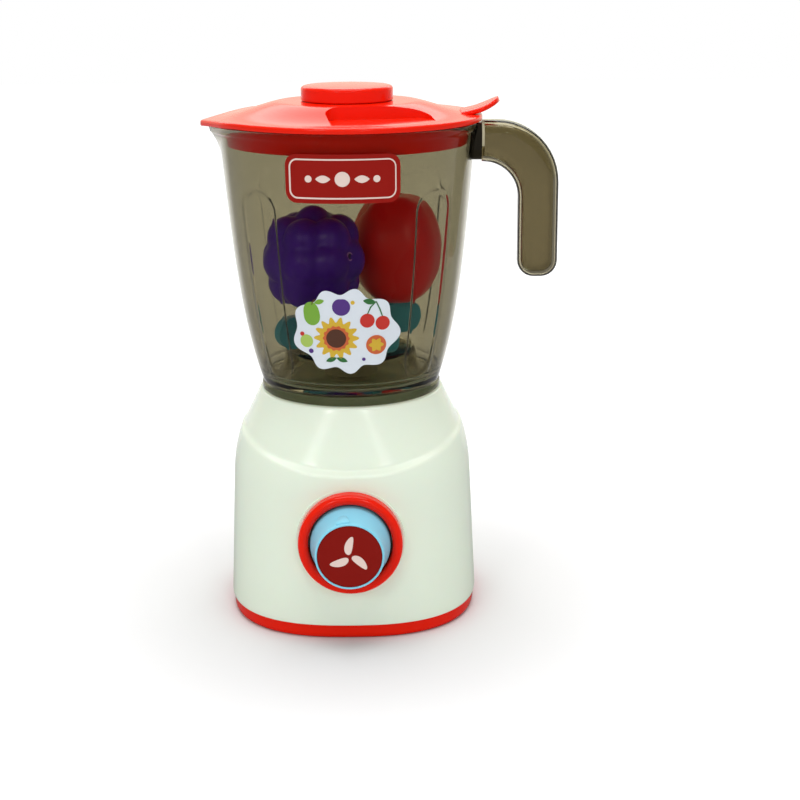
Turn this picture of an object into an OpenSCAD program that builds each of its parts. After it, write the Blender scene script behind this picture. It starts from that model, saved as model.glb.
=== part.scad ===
// Toy blender with a hand-turned dial, a lift-off jug, a mixing wheel and two play foods.
// Millimetres. The base stands on z = 0 with its centre at the origin. The dial faces -Y,
// the jug's handle points to +X and its spout to -X.

/* [Base housing] */
// Widest width of the housing, side to side
base_w = 117.2; // [112:0.2:122]
// Widest depth of the housing, front to back
base_d = 117.2; // [112:0.2:122]
// Squareness of the housing's plan: 2 is a circle
squareness = 2.5; // [2.3:0.05:2.8]
// Height at which the housing is widest
belly_z = 30; // [26:1:34]
// How far the wall draws in between the belly and the crease
wall_draw = 5.2; // [4:0.1:6]
// How far the wall draws in between the belly and the floor
foot_draw = 0.4; // [0.2:0.1:1]
// Height of the shoulder crease at the front and the back
crease_z = 75.5; // [73:0.5:78]
// How much higher the crease runs at the two sides
crease_rise = 11.5; // [8:0.5:13]
// Softness of the crease
crease_soft = 3; // [2:0.25:4]
// Height of the neck, on which the jug's foot stands
neck_z = 104; // [102:0.5:106]
// Radius of the neck
neck_r = 42.3; // [41.8:0.1:43.5]
// Wall of the housing
base_wall = 2.4; // [2:0.1:2.8]
// Height of the raised seat above the neck
seat_h = 4.5; // [4:0.1:4.7]

/* [Base plate] */
// Height of the red plate's rim
plate_h = 5; // [4.5:0.25:6]
// Thickness of the plate's floor
plate_floor = 2.4; // [2:0.1:2.8]
// How far the plate stands in from the housing
plate_inset = 1.2; // [1:0.1:1.6]
// Radius of the plate screws' shanks
screw_r = 1.5; // [1.3:0.1:1.7]
// Radius of the plate screws' heads
screw_head_r = 2.8; // [2.5:0.1:3]

/* [Dial] */
// Height of the dial's axis
dial_z = 46; // [45:0.5:47]
// Outer radius of the bezel
bezel_r = 23.3; // [22.8:0.1:24]
// Radial width of the bezel's rounded ring
bezel_ring = 4.6; // [4:0.1:5]
// How far the bezel stands proud of the housing's front
bezel_proud = 2.6; // [2:0.1:3.2]
// Radius of the knob where it leaves the bezel
knob_r = 17.9; // [17.4:0.1:18.2]
// Radius of the knob's face
knob_face_r = 15.2; // [14.8:0.1:15.8]
// How far the knob's face stands out of the bezel
knob_out = 13; // [12:0.5:15]
// Radius of the disc on the knob's face
disc_r = 14.2; // [13.8:0.1:14.5]

/* [Gears] */
// Module of the crown gear and its pinion
gear_module = 1.5; // [1.48:0.01:1.52]
// Teeth of the crown gear
crown_teeth = 24; // [24:2:26]
// Teeth of the pinion
pinion_teeth = 10; // [9:1:10]
// Length of the crown gear's teeth along its radius
crown_face = 4; // [3.4:0.2:4.4]
// Thickness of the crown gear's disc
crown_disc_t = 4; // [3:0.5:5]
// Length of the pinion
pinion_l = 10; // [9:0.5:11]
// Radius of the dial's stem
stem_r = 4; // [3.6:0.1:4.4]
// Radius of the upright drive shaft
shaft_r = 2.5; // [2.3:0.1:2.8]
// Lobes of the click wheel
click_lobes = 8; // [6:1:10]

/* [Jug] */
// Outer radius at the foot
jug_foot_r = 41.4; // [41:0.1:41.6]
// Outer radius of the wall just above the foot
jug_low_r = 40.7; // [40.5:0.1:40.9]
// Even widening of the wall from the foot to the rim
jug_taper = 9.8; // [9.4:0.1:10.2]
// Extra widening that comes mostly near the foot
jug_bell = 7; // [6.6:0.1:7.2]
// Height of the rim
jug_rim_z = 226.1; // [222:0.1:230]
// Wall of the jug
jug_wall = 1.9; // [1.7:0.1:2.1]
// Length of the spout past the rim
spout_out = 6; // [5:0.5:6.5]
// Height of the raised floor in the middle of the jug
pedestal_z = 122.6; // [121.5:0.1:124]
// Radius of the raised floor's top
pedestal_r = 30; // [29:0.5:30.5]
// Depth of the four wall flutes
flute_d = 0.7; // [0.5:0.1:0.9]
// Width of the four wall flutes
flute_w = 20; // [18:0.5:22]
// Angle of the flutes from the front and the back
flute_angle = 50; // [48:1:54]

/* [Handle] */
// Thickness of the handle seen from the front
handle_t = 18.4; // [17:0.2:19]
// Depth of the handle, front to back
handle_d = 17; // [15:0.5:20]
// Distance of the handle's outer face from the jug's axis
handle_reach = 95; // [92:0.5:97]
// Height of the handle's top face
handle_top_z = 226; // [224:0.5:226]
// Height of the grip's free end
handle_end_z = 155; // [150:1:160]
// Outer radius of the handle's bend
handle_bend = 28; // [26:1:30]
// Wall of the hollow handle
handle_wall = 2.2; // [2:0.1:2.6]

/* [Lid] */
// Radius of the lid's rim
lid_r = 60.5; // [60:0.1:61.5]
// Height of the lid's lip
lid_lip_h = 2.6; // [2.2:0.1:3]
// Rise of the lid's flat middle above its lip
lid_rise = 6; // [5.5:0.25:7]
// Radius of the lid's flat middle
lid_flat_r = 31; // [30:0.5:32]
// Outer radius of the skirt inside the jug
skirt_r = 54; // [53:0.1:54.4]
// Depth of the skirt below the lip
skirt_h = 9.8; // [8:0.2:11]
// Wall of the lid
lid_wall = 2; // [1.6:0.1:2.2]
// Length of the thumb tab past the rim
tab_out = 8; // [6:0.5:9]
// Width of the thumb tab
tab_w = 20; // [16:1:24]
// Length of the finger pockets
pocket_l = 45.3; // [43:0.5:46]
// Radius of the filler cap
cap_r = 20.6; // [20:0.1:21.5]
// Height of the filler cap above the lid
cap_h = 6.4; // [5.5:0.1:7.5]

/* [Mixing wheel] */
// Radius to the ends of the paddles
wheel_r = 38; // [36:0.25:39]
// Height of the paddles
wheel_h = 14.6; // [13.5:0.1:15]
// Thickness of the paddles
paddle_t = 5; // [4:0.25:6]
// Number of paddles
paddles = 4; // [3:1:5]
// Radius of the mixing wheel's shaft
spindle_r = 3; // [2.8:0.1:3.2]

/* [Play foods] */
// Radius of the berry cluster
berry_r = 24; // [23:0.25:24.5]
// Half height of the berry cluster
berry_half_h = 25; // [24:0.25:25.5]
// Radius of the tomato
tomato_r = 22; // [21:0.25:22.5]
// Half height of the tomato
tomato_half_h = 25; // [24:0.25:25.5]

/* [Fits] */
// Radial clearance of a shaft that turns in a bore
run_gap = 0.06; // [0.04:0.01:0.09]
// Clearance between pieces that are pressed or screwed together
press_gap = 0.03; // [0.02:0.01:0.05]
// Gap between a resting piece and its seat
rest_gap = 0.3; // [0.2:0.05:0.35]
// Clearance round pieces that lift off
lift_gap = 0.5; // [0.4:0.05:0.6]

/* [Hidden] */
$fn = 72;
eps = 0.01;
far = 200;

// Colours
shell_white = "#eef3e6";
trim_red = "#eb2d14";
knob_blue = "#82d7eb";
disc_red = "#a01812";
smoke = [0.42, 0.39, 0.28, 0.6];
steel = "#b9bcc0";
gear_cream = "#e8e2cc";

// Base housing
ring_points = 60;
shell_floor_z = plate_h;
foot_soft = 0.8;
neck_soft = 1.2;
seat_z = neck_z + seat_h;
seat_r = jug_foot_r - 3;
seat_bore_r = seat_r - base_wall;
ceiling_z = seat_z - base_wall;
post_r = 5;
bracket_post_r = 4;
post_h = 24;
plate_rib = 1.6;
post_at = (base_w / 2 - base_wall) * pow(2, -1 / squareness) - 5;
post_web = 3;
post_step = 2;
screw_bottom = 4;
plate_pad_r = 3.6;
plate_soft = 2.2;
plate_wall = base_wall + 0.8;
plate_skin = 0.6;
plate_screw_l = 18;
screw_rest = 0.3;
screw_clear = 0.2;

// Gear train: the crown gear turns about the dial's axis and drives the upright shaft
crown_r = gear_module * crown_teeth / 2;
pinion_r = gear_module * pinion_teeth / 2;
mesh_z = dial_z + crown_r;
addendum = 0.9 * gear_module;
dedendum = 1.2 * gear_module;
crown_tip_y = -(pinion_r - addendum);
crown_root_y = -(pinion_r + addendum + 0.4);
crown_back_y = crown_root_y - crown_disc_t;
crown_rim_r = crown_r + crown_face / 2 + 1;
hub_r = 7;
hub_front_y = crown_back_y - 3;
stem_end_y = crown_root_y - 0.6;
washer_t = 0.8;
washer_r = 5.6;
crown_screw_r = 1.4;
crown_screw_l = 11;
crown_screw_head_r = 2.8;
crown_screw_head_h = 1.6;

// Dial: the well in the housing's front, the bezel in it and the knob in the bezel
front_y = -base_d / 2;
bezel_front_y = front_y - bezel_proud;
well_depth = 12;
well_floor_y = front_y + well_depth;
well_wall = 2.4;
bezel_inner_r = bezel_r - bezel_ring;
knob_back_y = well_floor_y - 1;
knob_front_y = bezel_front_y - knob_out;
boss_wall = 3;
stem_boss_r = stem_r + boss_wall;
stem_boss_y = hub_front_y - rest_gap - 0.2;
knob_wall = 2.2;
knob_lip = 1.4;
disc_t = 1;

// Drive shaft, its bracket and the click wheel
bracket_t = 3;
bracket_floor_z = mesh_z - pinion_l / 2 - 10;
bracket_half_w = crown_rim_r + 4;
bracket_front_y = crown_tip_y + 1.6;
bracket_boss_r = shaft_r + boss_wall;
bracket_boss_z = bracket_floor_z - 3.4;
flange_l = 10;
flange_z = 88;
bracket_screw_l = 13;
bracket_head_h = 2;
bracket_post_x = bracket_half_w - bracket_t - flange_l / 2 - 1;
shaft_low_z = bracket_boss_z + 1.6;
pinion_z = mesh_z - pinion_l / 2;
click_z = pinion_z + pinion_l + 3;
click_t = 4;
click_r = 9;
click_lobe_r = 1.8;
spring_t = 0.8;
spring_nose_r = 1.2;
spring_y = click_r + click_lobe_r + rest_gap + spring_nose_r;
spring_w = 7;
spring_l = 14;
click_screw_r = 1;
click_screw_l = 5;
click_screw_head_r = 2.2;
click_screw_head_h = 1.3;
click_screw_z = click_z - 9;
bracket_back_y = spring_y + spring_t + press_gap + bracket_t;
bush_r = 6;
bush_flange_r = 9;
bush_flange_t = 1.5;
bush_depth = 4;
coupler_z = seat_z + bush_flange_t + rest_gap;
coupler_r = 8.6;
coupler_h = 5.4;
coupler_wing = 3;
clip_t = 1;
clip_z = ceiling_z - bush_depth - clip_t - rest_gap;

// Jug
jug_foot_z = neck_z + rest_gap;
jug_band_h = 3.4;
jug_low_z = jug_foot_z + jug_band_h;
rim_band_h = 4;
jug_top_z = jug_rim_z - rim_band_h;
jug_rim_r = jug_low_r + jug_taper + jug_bell + 1;
jug_floor_z = seat_z + lift_gap + jug_wall + 0.3;
foot_bore_r = seat_r + lift_gap;
wall_steps = 18;
label_t = 0.3;
label_w = 50;
label_h = 20.8;
label_corner = 5;
label_drop = 8.2;
label_high_z = jug_rim_z - label_drop;
label_low_z = label_high_z - label_h;
sticker_up = 36;
sticker_z = jug_foot_z + sticker_up;
sticker_w = 50;
sticker_h = 40;
sticker_corner = 11;
sticker_side_corner = 9;
flute_up = 6;
flute_drop = 27;
flute_low_z = jug_foot_z + flute_up;
flute_high_z = jug_rim_z - flute_drop;
spindle_bush_r = spindle_r + 3;
spindle_flange_r = 9;
spindle_flange_t = 1.4;
spout_r = 5;
spout_drop = 19;
root_x = jug_rim_r + 1.5;

// Mixing wheel
wheel_z = pedestal_z + spindle_flange_t + rest_gap + 1.3;
wheel_top_z = wheel_z + wheel_h;
dog_top_z = pedestal_z - jug_wall - 2.3 - rest_gap;
dog_r = coupler_r + 3.6;
dog_low_z = coupler_z + 0.8;
dog_depth = coupler_z + coupler_h + lift_gap - dog_low_z;
nut_r = 6.4;
wheel_turn = 32;

// Lid
lip_z = jug_rim_z + rest_gap;
lip_top_z = lip_z + lid_lip_h;
lid_flat_z = lip_top_z + lid_rise;
beak_r = 4;
beak_x = -(jug_rim_r + spout_out - spout_r) - 2.4;
pocket_y = 30;
pocket_x = -9.6;
pocket_floor_z = lip_top_z + 0.4;
pocket_corner = 7;
cap_bore_r = cap_r - 3.4;
cap_stem_h = 8;
tab_t = 2.2;
tab_tilt = 20;
tab_l = (tab_out + 9) / cos(tab_tilt);

// Foods stand on the paddles
food_z = wheel_top_z + rest_gap;
berry_x = -15.5;
berry_y = -16;
tomato_x = 22.5;
tomato_y = 14;

function mix(a, b, f) = a + (b - a) * f;
function curve(a, b, c, f) = mix(mix(a, b, f), mix(b, c, f), f);
function arc(cx, cz, r, from, to, steps) =
    [for (i = [0:steps]) let (t = mix(from, to, i / steps)) [cx + r * cos(t), cz + r * sin(t)]];

// Distance factor of the squarish plan at the angle t
function plan(t) = pow(pow(abs(cos(t)), squareness) + pow(abs(sin(t)), squareness), -1 / squareness);

// A solid through closed rings of points, bottom ring first, each ring counter-clockwise from above.
// Its two end caps are strips between the ring's first half and its second half.
module loft(rings) {
    n = len(rings[0]);
    top = n * (len(rings) - 1);
    sides = [
        for (j = [0:len(rings) - 2], i = [0:n - 1])
            let (a = j * n + i, b = j * n + (i + 1) % n)
                each [[a, a + n, b + n], [a, b + n, b]]
    ];
    caps = [
        for (i = [0:n / 2 - 2])
            let (a = i, b = i + 1, c = n - 2 - i, d = n - 1 - i)
                each [[a, b, c], [a, c, d], [top + c, top + b, top + a], [top + d, top + c, top + a]]
    ];
    polyhedron([for (ring = rings) each ring], concat(sides, caps));
}

module turned(profile, angle = 360) {
    rotate_extrude(angle = angle)
        polygon(profile);
}

// A rod along z with named ends
module rod(r, z0, z1) {
    translate([0, 0, z0])
        cylinder(r = r, h = z1 - z0);
}

// Puts what is modelled along z onto the dial's axis, with z running from front to back
module on_dial_axis() {
    translate([0, 0, dial_z])
        rotate([-90, 0, 0])
            children();
}

// ---- Base housing ----

// Half width of the wall at height z
function wall_half(z) =
    base_w / 2
    - wall_draw * pow(max(0, z - belly_z) / (crease_z - belly_z), 2)
    - foot_draw * pow(max(0, belly_z - z) / belly_z, 2);

// Point of the wall at angle t and height z, standing in by inset
function wall_point(t, z, inset) =
    let (h = wall_half(z) - inset, k = plan(t))
        [h * k * cos(t), (h + (base_d - base_w) / 2) * k * sin(t), z];

// Point of the housing at angle t. The stretch is 0 for the wall, 1 for the crease,
// 2 for the shoulder and 3 for the neck's edge, and f runs along it.
function shell_point(t, stretch, f, inset, z0) =
    let (
        crease = crease_z + crease_rise * pow(plan(t) * cos(t), 2) - inset / 2,
        b = wall_point(t, crease, inset),
        rn = neck_r - inset,
        n = [rn * cos(t), rn * sin(t), neck_z - inset],
        soft = crease_soft / norm(n - b),
        a = wall_point(t, crease - crease_soft, inset),
        d = mix(n, b, neck_soft / norm(n - b)),
        e = [(rn - neck_soft) * cos(t), (rn - neck_soft) * sin(t), neck_z - inset]
    )
    stretch == 0 ? wall_point(t, mix(z0, crease - crease_soft, f), inset) :
    stretch == 1 ? curve(a, b, mix(b, n, soft), f) :
    stretch == 2 ? mix(mix(b, n, soft), d, f) :
    curve(d, n, e, f);

shell_steps = concat(
    [for (f = [0:0.2:1]) [0, f]],
    [for (f = [0.25:0.25:1]) [1, f]],
    [for (f = [0.5, 1]) [2, f]],
    [for (f = [0.5, 1]) [3, f]]
);

function ring_at(stretch, f, inset, z0) =
    [for (i = [0:ring_points - 1]) shell_point(360 * i / ring_points, stretch, f, inset, z0)];

// The housing's outside, or its inside when inset is the wall
module housing(inset, z0) {
    foot = [for (i = [0:ring_points - 1]) wall_point(360 * i / ring_points, z0, inset + foot_soft)];
    loft(concat([foot], [for (s = shell_steps) ring_at(s[0], s[1], inset, z0 + foot_soft)]));
}

module at_posts() {
    for (x = [-1, 1], y = [-1, 1])
        translate([x * post_at, y * (post_at + (base_d - base_w) / 2 * pow(2, -1 / squareness)), 0])
            rotate([0, 0, atan2(y, x)])
                children();
}

module at_bracket_posts() {
    for (x = [-1, 1])
        translate([x * bracket_post_x, 0, 0])
            children();
}

module base_shell() {
    color(shell_white)
        difference() {
            union() {
                housing(0, shell_floor_z);
                rod(seat_r, neck_z - base_wall, seat_z);
            }
            difference() {
                union() {
                    housing(base_wall, shell_floor_z - 2);
                    rod(seat_bore_r, neck_z - 2 * base_wall, ceiling_z);
                }
                on_dial_axis() {
                    rod(bezel_r + well_wall, front_y - 1, well_floor_y + well_wall);
                    rod(stem_boss_r, well_floor_y, stem_boss_y);
                }
                at_posts() {
                    rod(post_r, 0, shell_floor_z + post_h);
                    translate([0, -post_web / 2, 0])
                        cube([post_r + bracket_post_r, post_web, shell_floor_z + post_h - post_step]);
                }
                at_bracket_posts()
                    rod(bracket_post_r, flange_z, ceiling_z + 1);
                rod(bush_r + boss_wall, ceiling_z - bush_depth, ceiling_z + 1);
            }
            on_dial_axis() {
                rod(bezel_r + press_gap, front_y - 2, well_floor_y);
                rod(stem_r + run_gap, well_floor_y - 1, stem_boss_y + 1);
            }
            at_posts()
                rod(screw_r + press_gap, shell_floor_z - 1, shell_floor_z + post_h - screw_bottom);
            at_bracket_posts()
                rod(screw_r + press_gap, flange_z - 1, flange_z + 10);
            rod(bush_r + press_gap, ceiling_z - bush_depth - 1, seat_z + 1);
        }
}

function plate_inner(t) =
    let (p = wall_point(t, 0, plate_inset + plate_wall))
    [p[0], p[1]];

module base_plate() {
    color(trim_red)
        difference() {
            loft([
                for (s = [for (a = [0:30:90]) [plate_soft * (1 - cos(a)), plate_soft * (1 - sin(a))], [plate_h - press_gap, 0]])
                    [for (i = [0:ring_points - 1])
                        wall_point(360 * i / ring_points, s[0], plate_inset + s[1])]
            ]);
            difference() {
                translate([0, 0, plate_floor])
                    linear_extrude(plate_h)
                        polygon([for (i = [0:ring_points - 1]) plate_inner(360 * i / ring_points)]);
                at_posts()
                    rod(plate_pad_r, 0, plate_h - 2 * press_gap);
                for (a = [0, 90])
                    rotate([0, 0, a])
                        translate([-base_w, -plate_rib / 2, 0])
                            cube([2 * base_w, plate_rib, plate_h - 1]);
            }
            at_posts() {
                rod(screw_r + screw_clear, -1, plate_h + 1);
                rod(screw_head_r + screw_rest, -1, plate_floor - plate_skin);
            }
        }
}

module pan_screw(z_head, length, r, head_r, head_h) {
    rod(r, z_head + head_h - eps, z_head + length);
    difference() {
        rod(head_r, z_head, z_head + head_h);
        for (a = [0, 90])
            translate([0, 0, z_head])
                rotate([0, 0, a])
                    cube([head_r * 1.2, 0.7, head_h], center = true);
    }
}

module plate_screws() {
    color(steel)
        at_posts()
            pan_screw(screw_rest, plate_screw_l, screw_r, screw_head_r, plate_floor - plate_skin - screw_rest);
}

// ---- Dial ----

module dial_bezel() {
    ring_r = bezel_ring / 2;
    mid = bezel_r - ring_r;
    color(trim_red)
        on_dial_axis()
            turned(concat(
                [[bezel_inner_r, well_floor_y - press_gap]],
                [[bezel_inner_r, bezel_front_y + ring_r]],
                arc(mid, bezel_front_y + ring_r, ring_r, 180, 360, 16),
                [[bezel_r, well_floor_y - press_gap]]
            ));
}

// The knob: a hollow cup with a stem, and a raised pointer on its side
module dial_knob() {
    face_y = knob_front_y;
    color(knob_blue)
        on_dial_axis() {
            difference() {
                union() {
                    turned([
                        [0, face_y],
                        [knob_face_r - 1, face_y],
                        [knob_face_r - 0.3, face_y + 0.3],
                        [knob_face_r, face_y + 1],
                        [knob_face_r + 0.4, face_y + 4],
                        [knob_r - 0.5, bezel_front_y - 0.6],
                        [knob_r, bezel_front_y + 2],
                        [knob_r, knob_back_y],
                        [knob_r - knob_wall, knob_back_y],
                        [knob_r - knob_wall, bezel_front_y],
                        [knob_face_r - knob_wall, face_y + 5],
                        [0, face_y + 5]
                    ]);
                    rod(stem_r + 1.5, face_y + 3, well_floor_y - 1.2);
                    rod(stem_r, face_y + 3, stem_end_y);
                    translate([0, -knob_face_r - 0.2, face_y + 1.2])
                        rotate([0, 90, 0])
                            linear_extrude(height = 3, center = true)
                                polygon([[0, 1.5], [0, 0], [-8, -1.3], [-8, 1.5]]);
                }
                rod(disc_r + press_gap, face_y - 1, face_y + disc_t);
                rod(crown_screw_r + press_gap, stem_end_y - crown_screw_l - 1, stem_end_y + 1);
                translate([-stem_r, stem_r - 0.8, crown_back_y - 3.2])
                    cube([2 * stem_r, stem_r, far]);
            }
        }
}

module dial_disc() {
    color(disc_red)
        on_dial_axis()
            rod(disc_r, knob_front_y + 0.2, knob_front_y + disc_t - press_gap);
}

// Crown gear: straight teeth on the back of a disc, thinner towards their tips
module crown_gear() {
    pitch = PI * gear_module;
    root_t = pitch * 0.44;
    tip_t = pitch * 0.2;
    color(gear_cream)
        on_dial_axis()
            difference() {
                union() {
                    rod(crown_rim_r, crown_back_y, crown_root_y);
                    rod(hub_r, hub_front_y, crown_root_y);
                    for (i = [0:crown_teeth - 1])
                        rotate([0, 0, 90 + i * 360 / crown_teeth])
                            translate([crown_r, 0, 0])
                                rotate([90, 0, 90])
                                    linear_extrude(height = crown_face, center = true)
                                        polygon([
                                            [-root_t / 2, crown_root_y - eps],
                                            [root_t / 2, crown_root_y - eps],
                                            [tip_t / 2, crown_tip_y],
                                            [-tip_t / 2, crown_tip_y]
                                        ]);
                }
                difference() {
                    rod(stem_r + press_gap, hub_front_y - 1, crown_root_y + 1);
                    translate([-stem_r, stem_r - 0.8 + press_gap, crown_back_y - 3.1])
                        cube([2 * stem_r, stem_r, far]);
                }
                for (i = [0:5])
                    rotate([0, 0, 30 + 60 * i])
                        translate([(hub_r + crown_r - crown_face / 2) / 2, 0, 0])
                            rod(2.4, crown_back_y - 1, crown_root_y + 1);
            }
}

module crown_washer() {
    color(steel)
        on_dial_axis()
            difference() {
                rod(washer_r, crown_root_y + press_gap, crown_root_y + washer_t);
                rod(crown_screw_r + 0.15, crown_root_y - 1, crown_root_y + 2);
            }
}

module crown_screw() {
    head_y = crown_root_y + washer_t + press_gap;
    color(steel)
        on_dial_axis()
            translate([0, 0, head_y + crown_screw_head_h])
                mirror([0, 0, 1])
                    pan_screw(0, crown_screw_l, crown_screw_r, crown_screw_head_r, crown_screw_head_h);
}

// ---- Drive ----

module gear_bracket() {
    wall_x = bracket_half_w;
    depth = bracket_back_y - bracket_front_y;
    color(gear_cream)
        difference() {
            union() {
                translate([-wall_x, bracket_front_y, bracket_floor_z])
                    cube([2 * wall_x, depth, bracket_t]);
                for (x = [-wall_x, wall_x - bracket_t])
                    translate([x, bracket_front_y, bracket_floor_z])
                        cube([bracket_t, depth, flange_z - press_gap - bracket_floor_z]);
                for (x = [-wall_x, wall_x - bracket_t - flange_l])
                    translate([x, bracket_front_y, flange_z - bracket_t])
                        cube([bracket_t + flange_l, depth, bracket_t - press_gap]);
                rod(bracket_boss_r, bracket_boss_z, bracket_floor_z + 1);
                translate([-wall_x, bracket_back_y - bracket_t, bracket_floor_z])
                    cube([2 * wall_x, bracket_t, click_z - 3 - bracket_floor_z]);
            }
            rod(shaft_r + run_gap, shaft_low_z - rest_gap, flange_z);
            at_bracket_posts()
                rod(screw_r + screw_clear, flange_z - bracket_t - 1, flange_z + 1);
            translate([0, bracket_back_y, click_screw_z])
                rotate([90, 0, 0])
                    rod(click_screw_r + press_gap, -1, bracket_t + 1);
        }
}

module bracket_screws() {
    color(steel)
        at_bracket_posts()
            pan_screw(
                flange_z - bracket_t - bracket_head_h - press_gap,
                bracket_screw_l, screw_r, screw_head_r, bracket_head_h
            );
}

module drive_bush() {
    color(gear_cream)
        difference() {
            union() {
                rod(bush_r, ceiling_z - bush_depth, seat_z + 1);
                rod(bush_flange_r, seat_z + press_gap, seat_z + bush_flange_t);
            }
            rod(shaft_r + run_gap, 0, far);
        }
}

// Leaf that ticks over the click wheel's lobes, screwed to the bracket's back wall
module click_spring() {
    color(steel)
        difference() {
            union() {
                translate([-spring_w / 2, spring_y, click_z + click_t - spring_l - 2])
                    cube([spring_w, spring_t, spring_l + 2]);
                translate([0, spring_y, 0])
                    difference() {
                        rod(spring_nose_r, click_z, click_z + click_t);
                        translate([-spring_w, spring_t, 0])
                            cube([2 * spring_w, spring_w, far]);
                    }
            }
            translate([0, spring_y + 2, click_screw_z])
                rotate([90, 0, 0])
                    rod(click_screw_r + 0.1, -1, 4);
        }
}

module click_screw() {
    color(steel)
        translate([0, spring_y - click_screw_head_h - press_gap, click_screw_z])
            rotate([-90, 0, 0])
                pan_screw(0, click_screw_l, click_screw_r, click_screw_head_r, click_screw_head_h);
}

module drive_shaft() {
    color(steel)
        rod(shaft_r, shaft_low_z, coupler_z + coupler_h - 1);
}

module shaft_bore() {
    rod(shaft_r + press_gap, 0, far);
}

// Pinion with straight-sided teeth; a gap faces the dial
module drive_pinion() {
    tip_r = pinion_r + addendum;
    root_r = pinion_r - dedendum;
    pitch = PI * gear_module;
    color(gear_cream)
        difference() {
            union() {
                rod(root_r, pinion_z, pinion_z + pinion_l);
                rod(shaft_r + 1.6, pinion_z - 2, pinion_z + pinion_l + 2);
                for (i = [0:pinion_teeth - 1])
                    rotate([0, 0, -90 + (i + 0.5) * 360 / pinion_teeth])
                        translate([0, 0, pinion_z])
                            linear_extrude(height = pinion_l)
                                polygon([
                                    [root_r - 0.6, -pitch * 0.27],
                                    [tip_r, -pitch * 0.1],
                                    [tip_r, pitch * 0.1],
                                    [root_r - 0.6, pitch * 0.27]
                                ]);
            }
            shaft_bore();
        }
}

module click_wheel() {
    color(gear_cream)
        difference() {
            union() {
                rod(click_r, click_z, click_z + click_t);
                rod(shaft_r + 2, click_z - 0.8, click_z + click_t + 2);
                for (i = [0:click_lobes - 1])
                    rotate([0, 0, 90 + (i + 0.5) * 360 / click_lobes])
                        translate([click_r, 0, 0])
                            rod(click_lobe_r, click_z, click_z + click_t);
            }
            shaft_bore();
        }
}

module shaft_clip() {
    color(steel)
        difference() {
            rod(shaft_r + 2.2, clip_z, clip_z + clip_t);
            shaft_bore();
            translate([0, -1.2, clip_z - 1])
                cube([far, 2.4, clip_t + 2]);
        }
}

// Cross-shaped driver on top of the drive shaft
module drive_coupler() {
    color(gear_cream)
        difference() {
            union() {
                rod(shaft_r + 2, coupler_z, coupler_z + coupler_h);
                for (a = [0, 90])
                    rotate([0, 0, a])
                        translate([-coupler_r, -coupler_wing / 2, coupler_z])
                            cube([2 * coupler_r, coupler_wing, coupler_h]);
            }
            rod(shaft_r + press_gap, 0, coupler_z + coupler_h - 1 + press_gap);
        }
}

// ---- Jug ----

// Outer radius of the jug's wall at height z
function jug_outer(z) =
    let (t = (z - jug_low_z) / (jug_top_z - jug_low_z))
        jug_low_r + jug_taper * t + jug_bell * (1 - pow(1 - t, 4));

function wall_line(shift, z0, z1) =
    [for (i = [0:wall_steps]) let (z = mix(z0, z1, i / wall_steps)) [jug_outer(z) + shift, z]];

function backwards(list) = [for (i = [len(list) - 1:-1:0]) list[i]];

// The jug's outline, filled to its axis
module jug_outside() {
    turned(concat(
        [
            [0, jug_foot_z],
            [jug_foot_r - 0.6, jug_foot_z],
            [jug_foot_r, jug_foot_z + 0.6],
            [jug_foot_r, jug_low_z - 0.5]
        ],
        wall_line(0, jug_low_z, jug_top_z),
        [
            [jug_rim_r, jug_top_z + 1.4],
            [jug_rim_r, jug_rim_z - 0.5],
            [jug_rim_r - 0.5, jug_rim_z],
            [0, jug_rim_z]
        ]
    ));
}

// The space in the jug, above its stepped floor
module jug_inside() {
    turned(concat(
        [
            [0, pedestal_z],
            [pedestal_r - 1.6, pedestal_z],
            [pedestal_r - 0.5, pedestal_z - 0.5],
            [pedestal_r, pedestal_z - 1.6],
            [pedestal_r + 2, jug_floor_z + 2.6],
            [pedestal_r + 3.2, jug_floor_z + 0.8],
            [pedestal_r + 5.5, jug_floor_z],
            [jug_outer(jug_floor_z) - jug_wall - 2, jug_floor_z],
            [jug_outer(jug_floor_z + 0.8) - jug_wall - 0.6, jug_floor_z + 0.6]
        ],
        wall_line(-jug_wall, jug_floor_z + 2, jug_top_z),
        [
            [jug_outer(jug_top_z) - jug_wall, jug_rim_z + 1],
            [0, jug_rim_z + 1]
        ]
    ));
}

// The hollow under the jug that goes over the base's seat
module jug_socket() {
    turned([
        [0, jug_foot_z - 1],
        [foot_bore_r, jug_foot_z - 1],
        [foot_bore_r, jug_floor_z - jug_wall],
        [pedestal_r + 3.6, jug_floor_z - jug_wall],
        [pedestal_r + 0.2, jug_floor_z + 1.2],
        [pedestal_r - 2, pedestal_z - jug_wall],
        [0, pedestal_z - jug_wall]
    ]);
}

// Drop-shaped funnel from the wall out to the spout's tip
module spout(inset) {
    low_z = jug_rim_z - spout_drop;
    hull() {
        rod(jug_outer(low_z) - 0.3 - inset, low_z, low_z + 0.1);
        rod(jug_outer(jug_top_z) - inset, jug_rim_z - 1, jug_rim_z + (inset > 0 ? 1 : 0));
        translate([-(jug_rim_r + spout_out - spout_r), 0, 0])
            rod(spout_r - inset, jug_rim_z - 1.5, jug_rim_z + (inset > 0 ? 1 : 0));
    }
}

// What shows of a turned band through an upright window at the angle a from the front
module window_on_wall(a, inner_shift, outer_shift, z0, z1) {
    rotate([0, 0, a - 90])
        intersection() {
            rotate([0, 0, -40])
                turned(
                    concat(wall_line(outer_shift, z0, z1), backwards(wall_line(inner_shift, z0, z1))),
                    angle = 80
                );
            rotate([90, 0, 90])
                linear_extrude(height = 2 * jug_rim_r)
                    children();
        }
}

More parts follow.
